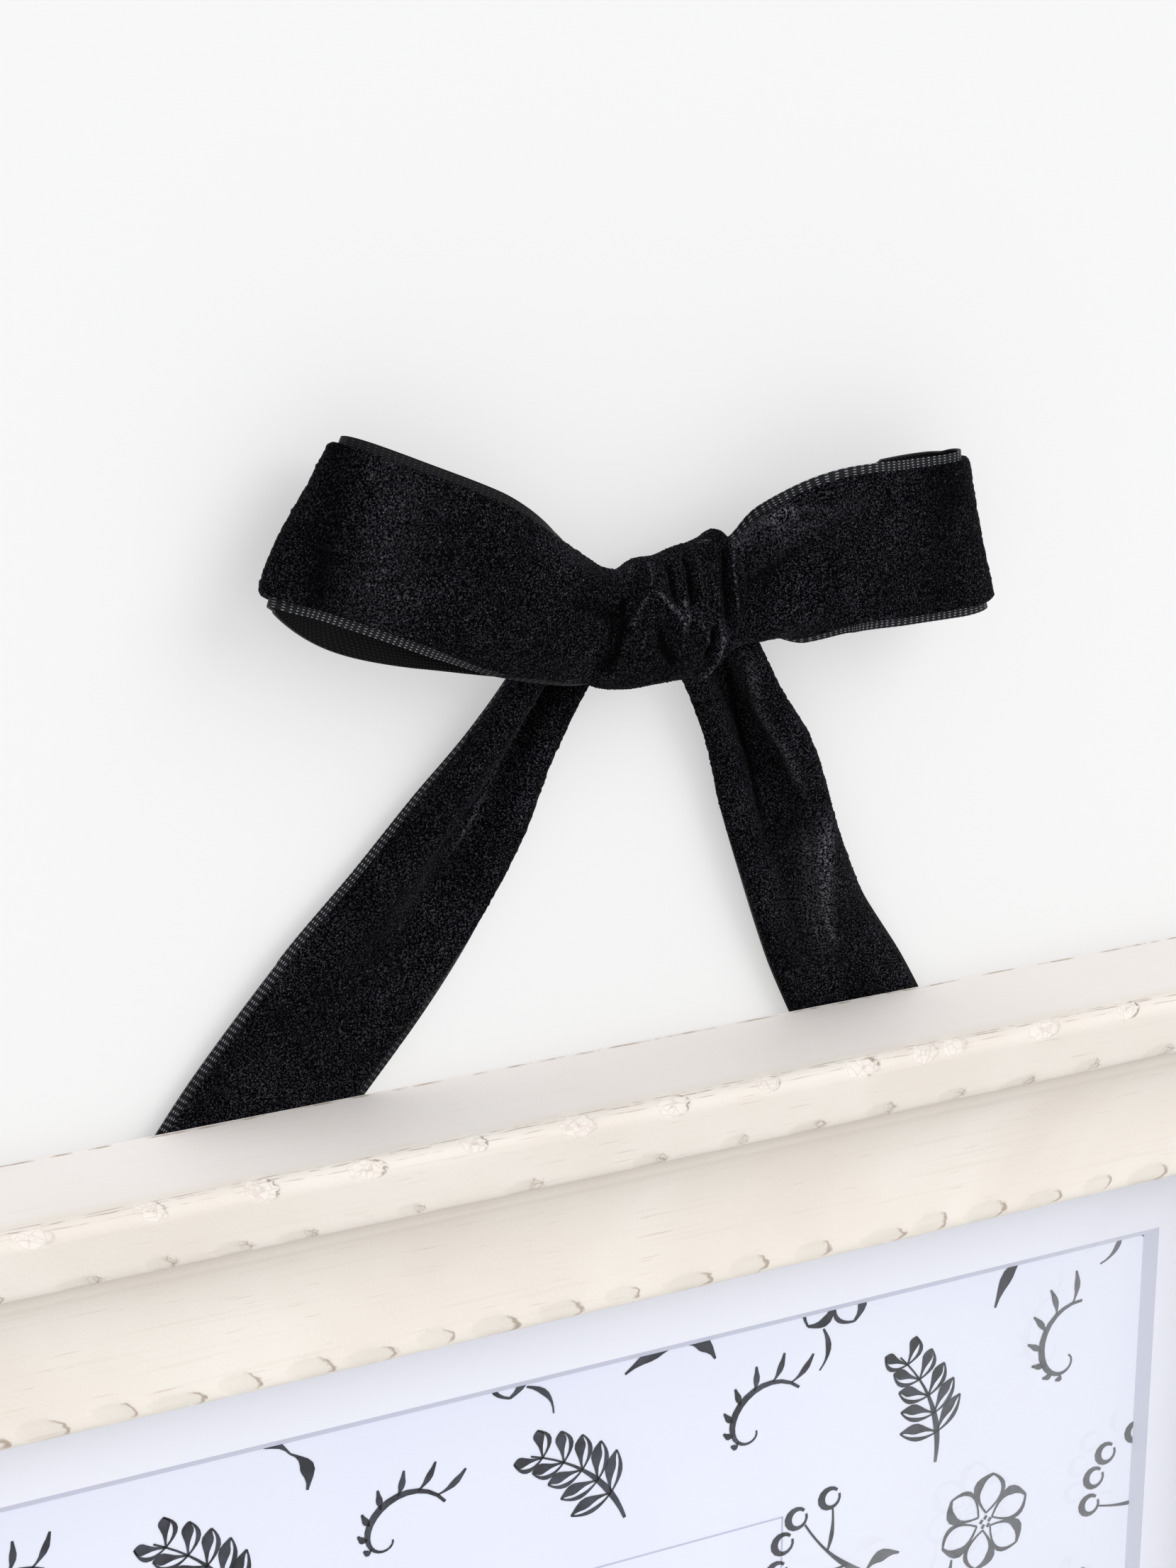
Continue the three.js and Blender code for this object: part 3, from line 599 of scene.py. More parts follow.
# Print: a sheet of pale paper with ink sprigs and a thin-lined blank panel
# The sheet keeps its solid. The ink is a thin layer on its face, drawn stroke by stroke.
print_depth = 0.0033
print_face = -wall_gap - print_depth
ink_lift = 0.00003
ink_thick = 0.00004
swell_reach = 0.27
paper_top = (0.870, 0.885, 0.990)
paper_low = (0.840, 0.860, 0.985)
ink_dark = (0.008, 0.009, 0.015)
ink_pale = (0.040, 0.043, 0.066)
line_dark = (0.50, 0.52, 0.68)
line_pale = (0.58, 0.60, 0.76)

print_paper, tree = new_material("print_paper")
spot = node("TexCoord").outputs["Object"]
colour = blended(ramp(noise(spot, 17.0, 2.0), 0.35, 0.65), paper_top, paper_low)
finish(colour, 0.85, bumps(noise(spot, 3000.0, 3.0), 0.06, 0.0001), 0.25)
dressed("print_sheet", print_paper)

ink_black, tree = new_material("ink_black")
pooled = noise(node("TexCoord").outputs["Object"], 420.0, 3.0)
finish(blended(ramp(pooled, 0.40, 0.66), ink_dark, ink_pale), 0.7)

line_grey, tree = new_material("line_grey")
faded = noise(node("TexCoord").outputs["Object"], 60.0, 2.0)
finish(blended(faded, line_dark, line_pale), 0.8)


def stroke(points, widths):
    """The outline of a brush stroke: left side forward, right side back."""
    points = np.array(points, dtype=float)
    way = np.gradient(points, axis=0)
    way /= np.linalg.norm(way, axis=1, keepdims=True) + 1e-12
    off = np.stack([-way[:, 1], way[:, 0]], axis=1) * np.array(widths)[:, None] / 2
    return points + off, points - off


def arc(start, bend, end, count):
    """Points of a curved stroke that starts and ends at two points and is pulled towards a third."""
    return bezier([start, bend, end], count - 1).tolist() + [list(end)]


def swell(count, thin, thick, at):
    """Widths of a brush stroke that swells once."""
    share = np.linspace(0, 1, count)
    return thin + (thick - thin) * np.exp(-(((share - at) / swell_reach) ** 2))


def drawn(start, bend, end, count, thin, thick, at):
    """A curved stroke that swells once: its points and its widths."""
    return arc(start, bend, end, count), swell(count, thin, thick, at)


def sprig():
    """A bent stem with paired leaves, each of two strokes."""
    strokes = [drawn((-0.0010, -0.0062), (0.0022, -0.0005), (-0.0006, 0.0064), 13, 0.00012, 0.00042, 0.3)]
    stem = strokes[0][0]
    for step in (3, 5, 7, 9, 11):
        base = np.array(stem[step])
        for side_of in (-1, 1):
            tip = base + (side_of * (0.0042 - 0.00022 * step), 0.0022)
            upper = base + (side_of * 0.0018, 0.0021)
            lower = base + (side_of * 0.0026, 0.0001)
            strokes.append(drawn(base, upper, tip, 9, 0.0001, 0.00075, 0.55))
            strokes.append(drawn(base, lower, tip, 9, 0.0001, 0.00030, 0.5))
    return strokes


def blossom():
    """An open flower of six looped petals round a dotted eye, on a short stalk."""
    strokes = []
    for petal in range(6):
        turn = petal * math.pi / 3 + 0.2
        ahead = np.array((math.cos(turn), math.sin(turn)))
        aside = np.array((-ahead[1], ahead[0]))
        for side_of in (-1, 1):
            belly = ahead * 0.0037 + aside * side_of * 0.0030
            thick = 0.00050 + 0.00018 * side_of
            strokes.append(drawn(ahead * 0.0009, belly, ahead * 0.0050, 10, 0.00012, thick, 0.6))
    for dot in range(5):
        turn = dot * 2 * math.pi / 5
        spot_at = np.array((math.cos(turn), math.sin(turn))) * 0.0005
        strokes.append(([spot_at, spot_at + (0.0003, 0.0001)], [0.0003, 0.0003]))
    strokes.append(drawn((0.0002, -0.0048), (0.0022, -0.0066), (0.0012, -0.0088), 9, 0.0001, 0.0004, 0.4))
    return strokes


def fern():
    """A curled frond with one row of fine fingers."""
    spine = [
        (0.0050 * (1 - t) * math.cos(1.3 + 4.6 * t) - 0.0008, 0.0056 * (1 - t) * math.sin(1.3 + 4.6 * t))
        for t in np.linspace(0, 1, 22)
    ]
    strokes = [(spine, swell(22, 0.00012, 0.00048, 0.35))]
    for step in range(1, 15, 2):
        base = np.array(spine[step])
        tip = base * 1.55 + (0.0006, 0.0004)
        strokes.append(drawn(base, (base + tip) / 2 + (0.0006, -0.0003), tip, 7, 0.0001, 0.00045, 0.6))
    return strokes


def berry_twig():
    """A forked twig with round berries drawn as short thick rings."""
    strokes = [
        drawn((0.0016, -0.0060), (-0.0004, -0.0010), (0.0010, 0.0050), 12, 0.00014, 0.0004, 0.3),
        drawn((0.0004, -0.0020), (-0.0020, -0.0004), (-0.0036, 0.0030), 9, 0.00012, 0.0003, 0.4),
        drawn((0.0004, 0.0008), (0.0022, 0.0016), (0.0038, 0.0036), 9, 0.00012, 0.0003, 0.4),
    ]
    berry = 0.0010
    ring_turns = np.linspace(0, 1.85 * math.pi, 14)
    for x, y in ((0.0010, 0.0062), (-0.0040, 0.0040), (0.0044, 0.0046), (-0.0016, 0.0056)):
        ring = [(x + berry * math.cos(a), y + berry * math.sin(a)) for a in ring_turns]
        strokes.append((ring, swell(14, 0.00016, 0.00052, 0.4)))
    for side_of in (-1, 1):
        bend = (side_of * 0.0024 + 0.0010, -0.0040)
        strokes.append(drawn((0.0010, -0.0046), bend, (side_of * 0.0046, -0.0064), 9, 0.0001, 0.0009, 0.55))
    return strokes


def picked(*pieces):
    """Nothing selected but these pieces, with the first of them active."""
    bpy.ops.object.select_all(action="DESELECT")
    for piece in pieces:
        piece.select_set(True)
    bpy.context.view_layer.objects.active = pieces[0]


def inked(name, strokes, material):
    """All strokes as one thin raised layer of ink on the sheet."""
    corners = []
    faces = []
    for left, right in strokes:
        first = len(corners)
        for (ax, az), (bx, bz) in zip(left, right):
            corners.append((ax, print_face - ink_lift, az))
            corners.append((bx, print_face - ink_lift, bz))
        for a in range(first, len(corners) - 2, 2):
            faces.append((a, a + 1, a + 3, a + 2))
    mesh = bpy.data.meshes.new(name)
    mesh.from_pydata(corners, [], faces)
    piece = bpy.data.objects.new(name, mesh)
    scene.collection.objects.link(piece)
    picked(piece)
    bpy.ops.object.mode_set(mode="EDIT")
    bpy.ops.mesh.select_all(action="SELECT")
    bpy.ops.mesh.extrude_region_move(TRANSFORM_OT_translate={"value": (0, -ink_thick, 0)})
    bpy.ops.mesh.select_all(action="SELECT")
    bpy.ops.mesh.normals_make_consistent(inside=False)
    bpy.ops.object.mode_set(mode="OBJECT")
    mesh.materials.append(material)
    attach(piece, "frame")


panel_half_width = 0.0318
panel_top = -0.1236
panel_low = 2 * middle_z - panel_top
panel_line = 0.00022
panel_clear_side = 0.006
panel_clear_low = 0.004
panel_clear_top = 0.007
motif_pitch_x = 0.0272
motif_pitch_z = 0.0235
motif_stray_x = 0.0012
motif_stray_z = 0.0016
motif_past_side = 0.004
motif_past_end = 0.009
motif_grow = 1.55
stroke_grow = 2.3
drawings = [sprig(), blossom(), fern(), berry_twig()]
strokes = []
for row in range(-6, 7):
    for column in range(-3, 4):
        stray_x = motif_stray_x * math.sin(3.1 * row + column)
        stray_z = motif_stray_z * math.sin(2.1 * column + 1.7 * row)
        at_x = middle_x + (column + row % 2 / 2) * motif_pitch_x + stray_x
        at_z = middle_z + (row + 0.32) * motif_pitch_z + stray_z
        beside = abs(at_x - middle_x)
        level_with_panel = panel_low - panel_clear_low < at_z < panel_top + panel_clear_top
        in_panel = beside < panel_half_width + panel_clear_side and level_with_panel
        past_end = abs(at_z - middle_z) > window_height / 2 + motif_past_end
        if in_panel or past_end or beside > window_width / 2 + motif_past_side:
            continue
        turn = 0.9 * math.sin(1.9 * row + 2.7 * column)
        spin = np.array([[math.cos(turn), math.sin(turn)], [-math.sin(turn), math.cos(turn)]]) * motif_grow
        for points, widths in drawings[(row * 3 + column * 2) % len(drawings)]:
            placed = np.array(points) @ spin + (at_x, at_z)
            strokes.append(stroke(placed, np.array(widths) * stroke_grow))
limit_x = window_width / 2 + mat_show / 2
limit_z = window_height / 2 + mat_show / 2
strokes = [
    pair
    for pair in strokes
    if np.all(np.abs(np.vstack(pair) - (middle_x, middle_z)) < (limit_x, limit_z))
]
inked("ink_sprigs", strokes, ink_black)
panel_corners = [
    (middle_x - panel_half_width, panel_low),
    (middle_x + panel_half_width, panel_low),
    (middle_x + panel_half_width, panel_top),
    (middle_x - panel_half_width, panel_top),
]
panel_sides = [
    stroke([start, end], [panel_line, panel_line])
    for start, end in zip(panel_corners, panel_corners[1:] + panel_corners[:1])
]
inked("panel_lines", panel_sides, line_grey)


# Backing board: a sheet of hard fibreboard behind the print
# Smooth brown board with short pale and dark fibres pressed into its face.
board_brown = (0.245, 0.150, 0.082)
board_pale = (0.360, 0.245, 0.145)

fibreboard, tree = new_material("fibreboard")
spot = node("TexCoord").outputs["Object"]
fibre = noise(stretched(spot, (700.0, 700.0, 2600.0)), 1.0, 4.0, distortion=1.2)
pressed = maths("MULTIPLY", fibre, noise(spot, 260.0, 3.0))
colour = blended(ramp(pressed, 0.10, 0.46), board_brown, board_pale)
finish(colour, 0.7, bumps(fibre, 0.25, 0.0002))
dressed("backing_board", fibreboard)


# Turn buttons: six small plates that swing over the board and hold it in
# Stamped from zinc-plated steel and tumbled, so the outer edge is rolled over. One is made and copied.
button_reach = 0.015
button_head = 0.0045
button_tip = 0.003
button_thick = 0.001
button_hole = 0.0017
button_roll = 0.00028
button_break = 0.0001
button_inset = 0.0156
button_gap = 0.0001
side_button_rise = 0.074
button_foot = -wall_gap + button_gap
tip_away = button_reach - button_tip
button_lean = math.asin((button_head - button_tip) / tip_away)
head_count = 60
tip_count = 40
rim_count = 141
head_turn = np.linspace(-button_lean, math.pi + button_lean, head_count)
tip_turn = np.linspace(math.pi + button_lean, 2 * math.pi - button_lean, tip_count)
facing = np.concatenate([head_turn, tip_turn, head_turn[:1] + 2 * math.pi])
radius = np.concatenate([np.full(head_count, button_head), np.full(tip_count, button_tip), [button_head]])
drop = np.concatenate([np.zeros(head_count), np.full(tip_count, tip_away), [0]])
outline = np.stack([np.cos(facing) * radius, np.sin(facing) * radius - drop], axis=1)
outline_run = np.concatenate([[0], np.cumsum(np.linalg.norm(np.diff(outline, axis=0), axis=1))])
steps = np.linspace(0, outline_run[-1], rim_count)
facing = np.interp(steps, outline_run, facing)
outline = np.stack([np.interp(steps, outline_run, outline[:, k]) for k in (0, 1)], axis=1)
seen_from_hole = np.unwrap(np.arctan2(outline[:, 1], outline[:, 0]))
hole_turn = (facing + seen_from_hole) / 2
edge_turn = np.linspace(0, math.pi / 2, 6)
# Points round the plate's section: share of the way from the hole to the outline, set in by, and height
plate_section = [(0, 0, button_thick - button_break), (0, button_break, button_thick)]
plate_section += [(share, 0, button_thick) for share in (0.25, 0.5, 0.75)]
plate_section += [
    (1, button_roll * (1 - math.sin(a)), button_thick - button_roll * (1 - math.cos(a))) for a in edge_turn
]
plate_section += [(1, 0, button_break), (1, button_break, 0)]
plate_section += [(share, 0, 0) for share in (0.75, 0.5, 0.25)]
plate_section += [(0, button_break, 0), (0, 0, button_break), plate_section[0]]
points = np.empty((len(steps), len(plate_section), 3))
for column, (share, inwards, height) in enumerate(plate_section):
    round_hole = np.stack([np.cos(hole_turn), np.sin(hole_turn)], axis=1) * (button_hole + inwards)
    inset = np.stack([np.cos(facing), np.sin(facing)], axis=1) * inwards
    spots = round_hole * (1 - share) + (outline - inset) * share
    points[:, column, 0] = spots[:, 0]
    points[:, column, 1] = button_foot + height
    points[:, column, 2] = spots[:, 1]
plate = lofted("stamped_button", points, steps, np.linspace(0, 0.02, len(plate_section)))
plate.data.materials.append(zinc_steel)


# Screws: one through each button into the rail
# Zinc-plated steel: a turned dome with a sawn slot, on a shank with a rolled thread. One is made and
# copied.
screw_core = 0.00105
screw_crest = 0.00136
screw_pitch = 0.001
screw_length = 0.011
screw_point = 0.0025
screw_plain = 0.0014
screw_runout = 0.0006
thread_steepness = 1.9
plain_share = 0.8
dome_radius = 0.00275
dome_height = 0.0011
dome_rim = 0.00022
slot_width = 0.0007
slot_depth = 0.0005
screw_seat = button_foot + button_thick + button_gap

up = np.linspace(-screw_length, 0.0002, 130)
turn = np.linspace(0, 2 * math.pi, 33)
thread = (up[:, None] / screw_pitch - turn[None, :] / (2 * math.pi)) % 1.0
thread = np.clip(1 - np.abs(2 * thread - 1) * thread_steepness, 0, 1)
thread = thread * np.clip((-screw_plain - up) / screw_runout, 0, 1)[:, None]
thread = np.maximum(thread, (up > -screw_plain)[:, None] * plain_share)
slim = np.clip((up + screw_length) / screw_point, 0, 1)[:, None] ** 0.8
radius = (screw_core + (screw_crest - screw_core) * thread) * slim
points = np.stack(
    [radius * np.cos(turn), up[:, None] + screw_seat + 0 * radius, radius * np.sin(turn)], axis=2
)
shank = lofted("screw_shank", points, up, turn * screw_core)

dome_turn = np.linspace(0, math.pi / 2, 14)
dome = [(0, 0), (dome_radius - 0.0001, 0), (dome_radius, 0.0001), (dome_radius, dome_rim)]
dome += [
    (dome_radius * math.cos(a), dome_rim + (dome_height - dome_rim) * math.sin(a)) for a in dome_turn[1:]
]
dome = np.array(dome)
turn = np.linspace(0, 2 * math.pi, 65)
points = np.stack(
    [
        dome[:, :1] * np.cos(turn),
        dome[:, 1:] + screw_seat + 0 * turn[None, :],
        dome[:, :1] * np.sin(turn),
    ],
    axis=2,
)
head = lofted("slotted_screw", points, np.arange(len(dome)) * 0.0002, turn * dome_radius)
bpy.ops.mesh.primitive_cube_add(size=1, location=(0, screw_seat + dome_height, 0))
saw = bpy.context.object
saw.scale = (4 * dome_radius, 2 * slot_depth, slot_width)
saw.rotation_euler = (0, math.pi / 5, 0)
cutting = head.modifiers.new("slot", "BOOLEAN")
cutting.operation = "DIFFERENCE"
cutting.solver = "EXACT"
cutting.object = saw
softened = head.modifiers.new("softened", "BEVEL")
softened.limit_method = "ANGLE"
softened.angle_limit = math.radians(40)
softened.width = 0.00005
softened.segments = 2
picked(head)
bpy.ops.object.modifier_apply(modifier="slot")
bpy.ops.object.modifier_apply(modifier="softened")
picked(head, shank)
bpy.ops.object.join()
bpy.ops.object.shade_smooth_by_angle(angle=math.radians(35))
head.data.materials.clear()
head.data.materials.append(zinc_steel)
picked(saw)
bpy.ops.object.delete()

# How far each button sits along its rail, then the quarter turn and the place of that rail
button_places = {
    "top": (0, 0, 0, outer_height / 2),
    "right_upper": (-side_button_rise, 1, outer_width / 2, 0),
    "right_lower": (side_button_rise, 1, outer_width / 2, 0),
    "bottom": (0, 2, 0, -outer_height / 2),
    "left_lower": (-side_button_rise, 3, -outer_width / 2, 0),
    "left_upper": (side_button_rise, 3, -outer_width / 2, 0),
}
for place, (beside, quarter, out_x, out_z) in button_places.items():
    angle = quarter * math.pi / 2
    pivot_x = middle_x + out_x + beside * math.cos(angle) - button_inset * math.sin(angle)
    pivot_z = middle_z + out_z - beside * math.sin(angle) - button_inset * math.cos(angle)
    for model, body, old in ((plate, f"button_{place}", "turn_button"), (head, "frame", "screw")):
        picked(model)
        bpy.ops.object.duplicate()
        item = bpy.context.object
        item.name = item.data.name = f"{model.name}_{place}"
        item.rotation_euler = (0, angle, 0)
        item.location = (pivot_x, 0, pivot_z)
        bpy.ops.object.transform_apply(location=True, rotation=True, scale=True)
        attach(item, body)
        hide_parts(f"{old}_{place}")
picked(plate, head)
bpy.ops.object.delete()


# Ribbon, first its velvet and its woven edges
# One black ribbon, 22 mm wide: cut pile on the face, a satin back, and a woven selvage along each edge.
pile_black = (0.0007, 0.0007, 0.0010)
pile_grey = (0.0500, 0.0500, 0.0600)
fold_highlight_grey = (0.190, 0.192, 0.210)
glint_grey = (0.17, 0.17, 0.185)
selvage_black = (0.0030, 0.0030, 0.0038)
selvage_grey = (0.290, 0.296, 0.325)
satin_black = (0.0018, 0.0018, 0.0024)
satin_grey = (0.030, 0.030, 0.034)
pile_sheen = {"Sheen Weight": 0.03, "Sheen Roughness": 0.35, "Sheen Tint": (0.75, 0.76, 0.82, 1)}
bar_pitch = 0.00086
thread_pitch = 0.00034
twill_pitch = 0.00052
twill_thread_pitch = 0.00036

velvet_pile, tree = new_material("velvet_pile")
spot = node("TexCoord").outputs["Object"]
painted_fold_light = node("Attribute", attribute_name="painted_fold_light").outputs["Fac"]
tufts = noise(spot, 4200.0, 2.0, roughness=0.6)
tuft = ramp(tufts, 0.51, 0.67)
brush = ramp(noise(spot, 110.0, 3.0), 0.36, 0.64, 0.45, 1.0)
# Painted light on the pile: lighter on fold ridges, darker in fold valleys, and a painted sheen seen
# edge-on
opened = maths("MAXIMUM", maths("MULTIPLY_ADD", painted_fold_light, 0.9, 1.0), 0.08)
edge_on = ramp(node("LayerWeight", {"Blend": 0.35}).outputs["Facing"], 0.45, 1.0, 0.0, 0.5)
lit = maths("MULTIPLY", maths("MULTIPLY", tuft, brush), opened)
lit = maths("MULTIPLY_ADD", edge_on, tuft, lit)
colour = blended(lit, pile_black, pile_grey)
# Sparse painted glints in the pile
glints = ramp(noise(spot, 4600.0, 1.0), 0.68, 0.76, 0.0, 0.6)
colour = blended(maths("MULTIPLY", glints, opened), colour, glint_grey)
# Painted highlight streaks along the fold ridges
fold_highlight_fibres = stepped(noise(spot, 3600.0, 3.0), 0.50, 0.60, 0.0, 0.85)
colour = blended(maths("MULTIPLY", maths("MAXIMUM", painted_fold_light, 0.0), fold_highlight_fibres), colour, fold_highlight_grey)
finish(colour, 1.0, bumps(tufts, 0.5, 0.0003), 0.02, pile_sheen)


def dashes_of(place, pitch, wander, unevenness):
    """A wave of brightness from 0 to 1 along a coordinate, a little uneven."""
    turns = maths("MULTIPLY", place, 2 * math.pi / pitch)
    turns = maths("MULTIPLY_ADD", wander, unevenness, turns)
    return stepped(maths("SINE", turns), -0.2, 0.9)


woven_selvage, tree = new_material("woven_selvage")
face = node("UVMap", uv_map="UVMap").outputs[0]
along, around = node("SeparateXYZ", {0: face}).outputs[:2]
wander = noise(face, 700.0, 2.0)
woven = dashes_of(along, bar_pitch, wander, 2.0)
woven = maths("MULTIPLY", woven, dashes_of(around, thread_pitch, wander, 3.0))
lit = ramp(maths("MULTIPLY", woven, noise(face, 140.0, 2.0)), 0.12, 0.36, 0.02, 1.0)
shine = node("Attribute", attribute_name="shine").outputs["Fac"]
colour = blended(maths("MULTIPLY", lit, shine), selvage_black, selvage_grey)
finish(colour, 0.55, bumps(woven, 0.8, 0.0002), 0.12)

satin_back, tree = new_material("satin_back")
face = node("UVMap", uv_map="UVMap").outputs[0]
along, around = node("SeparateXYZ", {0: face}).outputs[:2]
wander = noise(face, 900.0, 2.0)
woven = dashes_of(maths("MULTIPLY_ADD", around, 0.5, along), twill_pitch, wander, 1.5)
woven = maths("MULTIPLY", woven, dashes_of(around, twill_thread_pitch, wander, 1.5))
finish(blended(woven, satin_black, satin_grey), 0.55, bumps(woven, 0.6, 0.0002), 0.12)


# Ribbon loops: out from the knot in front, round the end and back behind
# Each loop is the ribbon's own strip laid along a route. Its shape table gives the way across it, how wide
# it stands once pleated, and how far each edge curls back. Folds are drawn as lines on the strip, with
# light painted along their ridges and shade painted in their valleys.
ribbon_width = 0.022
selvage_width = 0.00118
ground_back = 0.00038
selvage_face = 0.00004
pile_face = 0.00062
pile_round = 0.0005
pile_lean = 0.00002
pile_noise = 0.00005
back_tuck = 0.0001
leg_stand = 0.0009
pile_half = ribbon_width / 2 - selvage_width
edge_columns = 6
pile_columns = 56
back_columns = 23
fold_samples = 241


def curve(table, t):
    """Each column of a table at every t from 0 to 1, on a Catmull-Rom curve through its rows."""
    table = np.array(table, dtype=float)
    ends = np.vstack([2 * table[0] - table[1], table, 2 * table[-1] - table[-2]])
    place = np.clip(t, 0, 1) * (len(table) - 1)
    step = np.minimum(place.astype(int), len(table) - 2)
    f = (place - step)[:, None]
    a, b, c, d = ends[step], ends[step + 1], ends[step + 2], ends[step + 3]
    bend = (2 * a - 5 * b + 4 * c - d) * f**2
    return 0.5 * (2 * b + (c - a) * f + bend + (3 * b - a - 3 * c + d) * f**3)


def gathered(flat, facts, pleats, phase):
    """The slope across the ribbon: curled edges, and pleats as deep as each row's width share asks for."""
    u = flat / (ribbon_width / 2)
    curl = facts[:, 4:5] * np.clip(-u, 0, None) - facts[:, 5:6] * np.clip(u, 0, None)
    wave = np.sin(2 * math.pi * pleats * (u + 1) / 2 + phase)[None, :]
    low = np.zeros((len(facts), 1))
    high = np.full((len(facts), 1), 2.0)
    for _ in range(20):
        middle = (low + high) / 2
        wide = np.cos(curl + middle * wave).mean(axis=1, keepdims=True)
        low = np.where(wide > facts[:, 3:4], middle, low)
        high = np.where(wide > facts[:, 3:4], high, middle)
    return curl + low * wave


def creased(along, across, creases):
    """Height of folds and the light painted on them. A crease is its points, height, width and painted
    lightness.
    """
    rise = np.zeros(along.shape)
    light = np.zeros(along.shape)
    for points, high, wide, bright in creases:
        points = np.array(points, dtype=float)
        lengths = np.linalg.norm(np.diff(points, axis=0), axis=1)
        starts = np.concatenate([[0], np.cumsum(lengths)])
        nearest = np.full(along.shape, 1.0)
        at = np.zeros(along.shape)
        for (x0, y0), (x1, y1), length, start in zip(points, points[1:], lengths, starts):
            f = ((along - x0) * (x1 - x0) + (across - y0) * (y1 - y0)) / length**2
            f = np.clip(f, 0, 1)
            apart = np.hypot(along - x0 - f * (x1 - x0), across - y0 - f * (y1 - y0))
            closer = apart < nearest
            nearest = np.where(closer, apart, nearest)
            at = np.where(closer, (start + f * length) / starts[-1], at)
        taper = np.clip(np.minimum(at, 1 - at) * 5 + 0.1, 0, 1)
        shape = np.exp(-((nearest / wide) ** 2)) * taper
        rise += high * shape
        # Painted highlight where bright is above zero, painted shade where it is below
        light += bright * np.exp(-((nearest / (0.55 * wide)) ** 2)) * taper
    return rise, light


def strip_section():
    """Places across and heights round the ribbon's section: over its face and back underneath."""
    half = ribbon_width / 2
    inner = np.linspace(-pile_half, pile_half, pile_columns)
    edge = np.linspace(-half, -pile_half, edge_columns, endpoint=False)
    edge = np.append(edge, -pile_half + pile_lean)
    rise = np.clip((pile_half - np.abs(inner)) / pile_round, 0, 1)
    pile = selvage_face + (pile_face - selvage_face) * np.sqrt(1 - (1 - rise) ** 2)
    pile[[0, -1]] = selvage_face + 0.6 * (pile_face - selvage_face)
    flat = np.full(len(edge), selvage_face)
    back = np.linspace(half, -half, back_columns)
    back[[0, -1]] += (-back_tuck, back_tuck)
    side = np.concatenate([edge, inner, -edge[::-1], back, edge[:1]])
    lift = np.concatenate([flat, pile, flat, np.full(back_columns, -ground_back), flat[:1]])
    return side, lift


def laid_route(route, rows):
    """Evenly spaced points of a route: their shares of its table, the points and their run along it."""
    t = np.linspace(0, 1, rows)
    gaps = np.linalg.norm(np.diff(curve(route, t), axis=0), axis=1)
    run = np.concatenate([[0], np.cumsum(gaps)])
    even = np.linspace(0, run[-1], rows)
    t = np.interp(even, run, t)
    return t, curve(route, t), even


def woven_faces(mesh, around):
    """Velvet on the face, a selvage along each edge and satin behind, told by the run round the section."""
    for material in (velvet_pile, woven_selvage, satin_back):
        mesh.materials.append(material)
    uv = np.empty(2 * len(mesh.loops))
    mesh.uv_layers[0].data.foreach_get("uv", uv)
    starts = np.empty(len(mesh.polygons), dtype=int)
    counts = np.empty(len(mesh.polygons), dtype=int)
    mesh.polygons.foreach_get("loop_start", starts)
    mesh.polygons.foreach_get("loop_total", counts)
    centre = np.add.reduceat(uv[1::2], starts) / counts
    pile_start = around[edge_columns + 1]
    pile_end = around[edge_columns + 1 + pile_columns]
    face_end = around[2 * edge_columns + 1 + pile_columns]
    on_edge = (centre < pile_start) | ((centre > pile_end) & (centre <= face_end))
    kind = np.where(centre > face_end, 2, np.where(on_edge, 1, 0))
    mesh.polygons.foreach_set("material_index", kind.astype(np.int32))


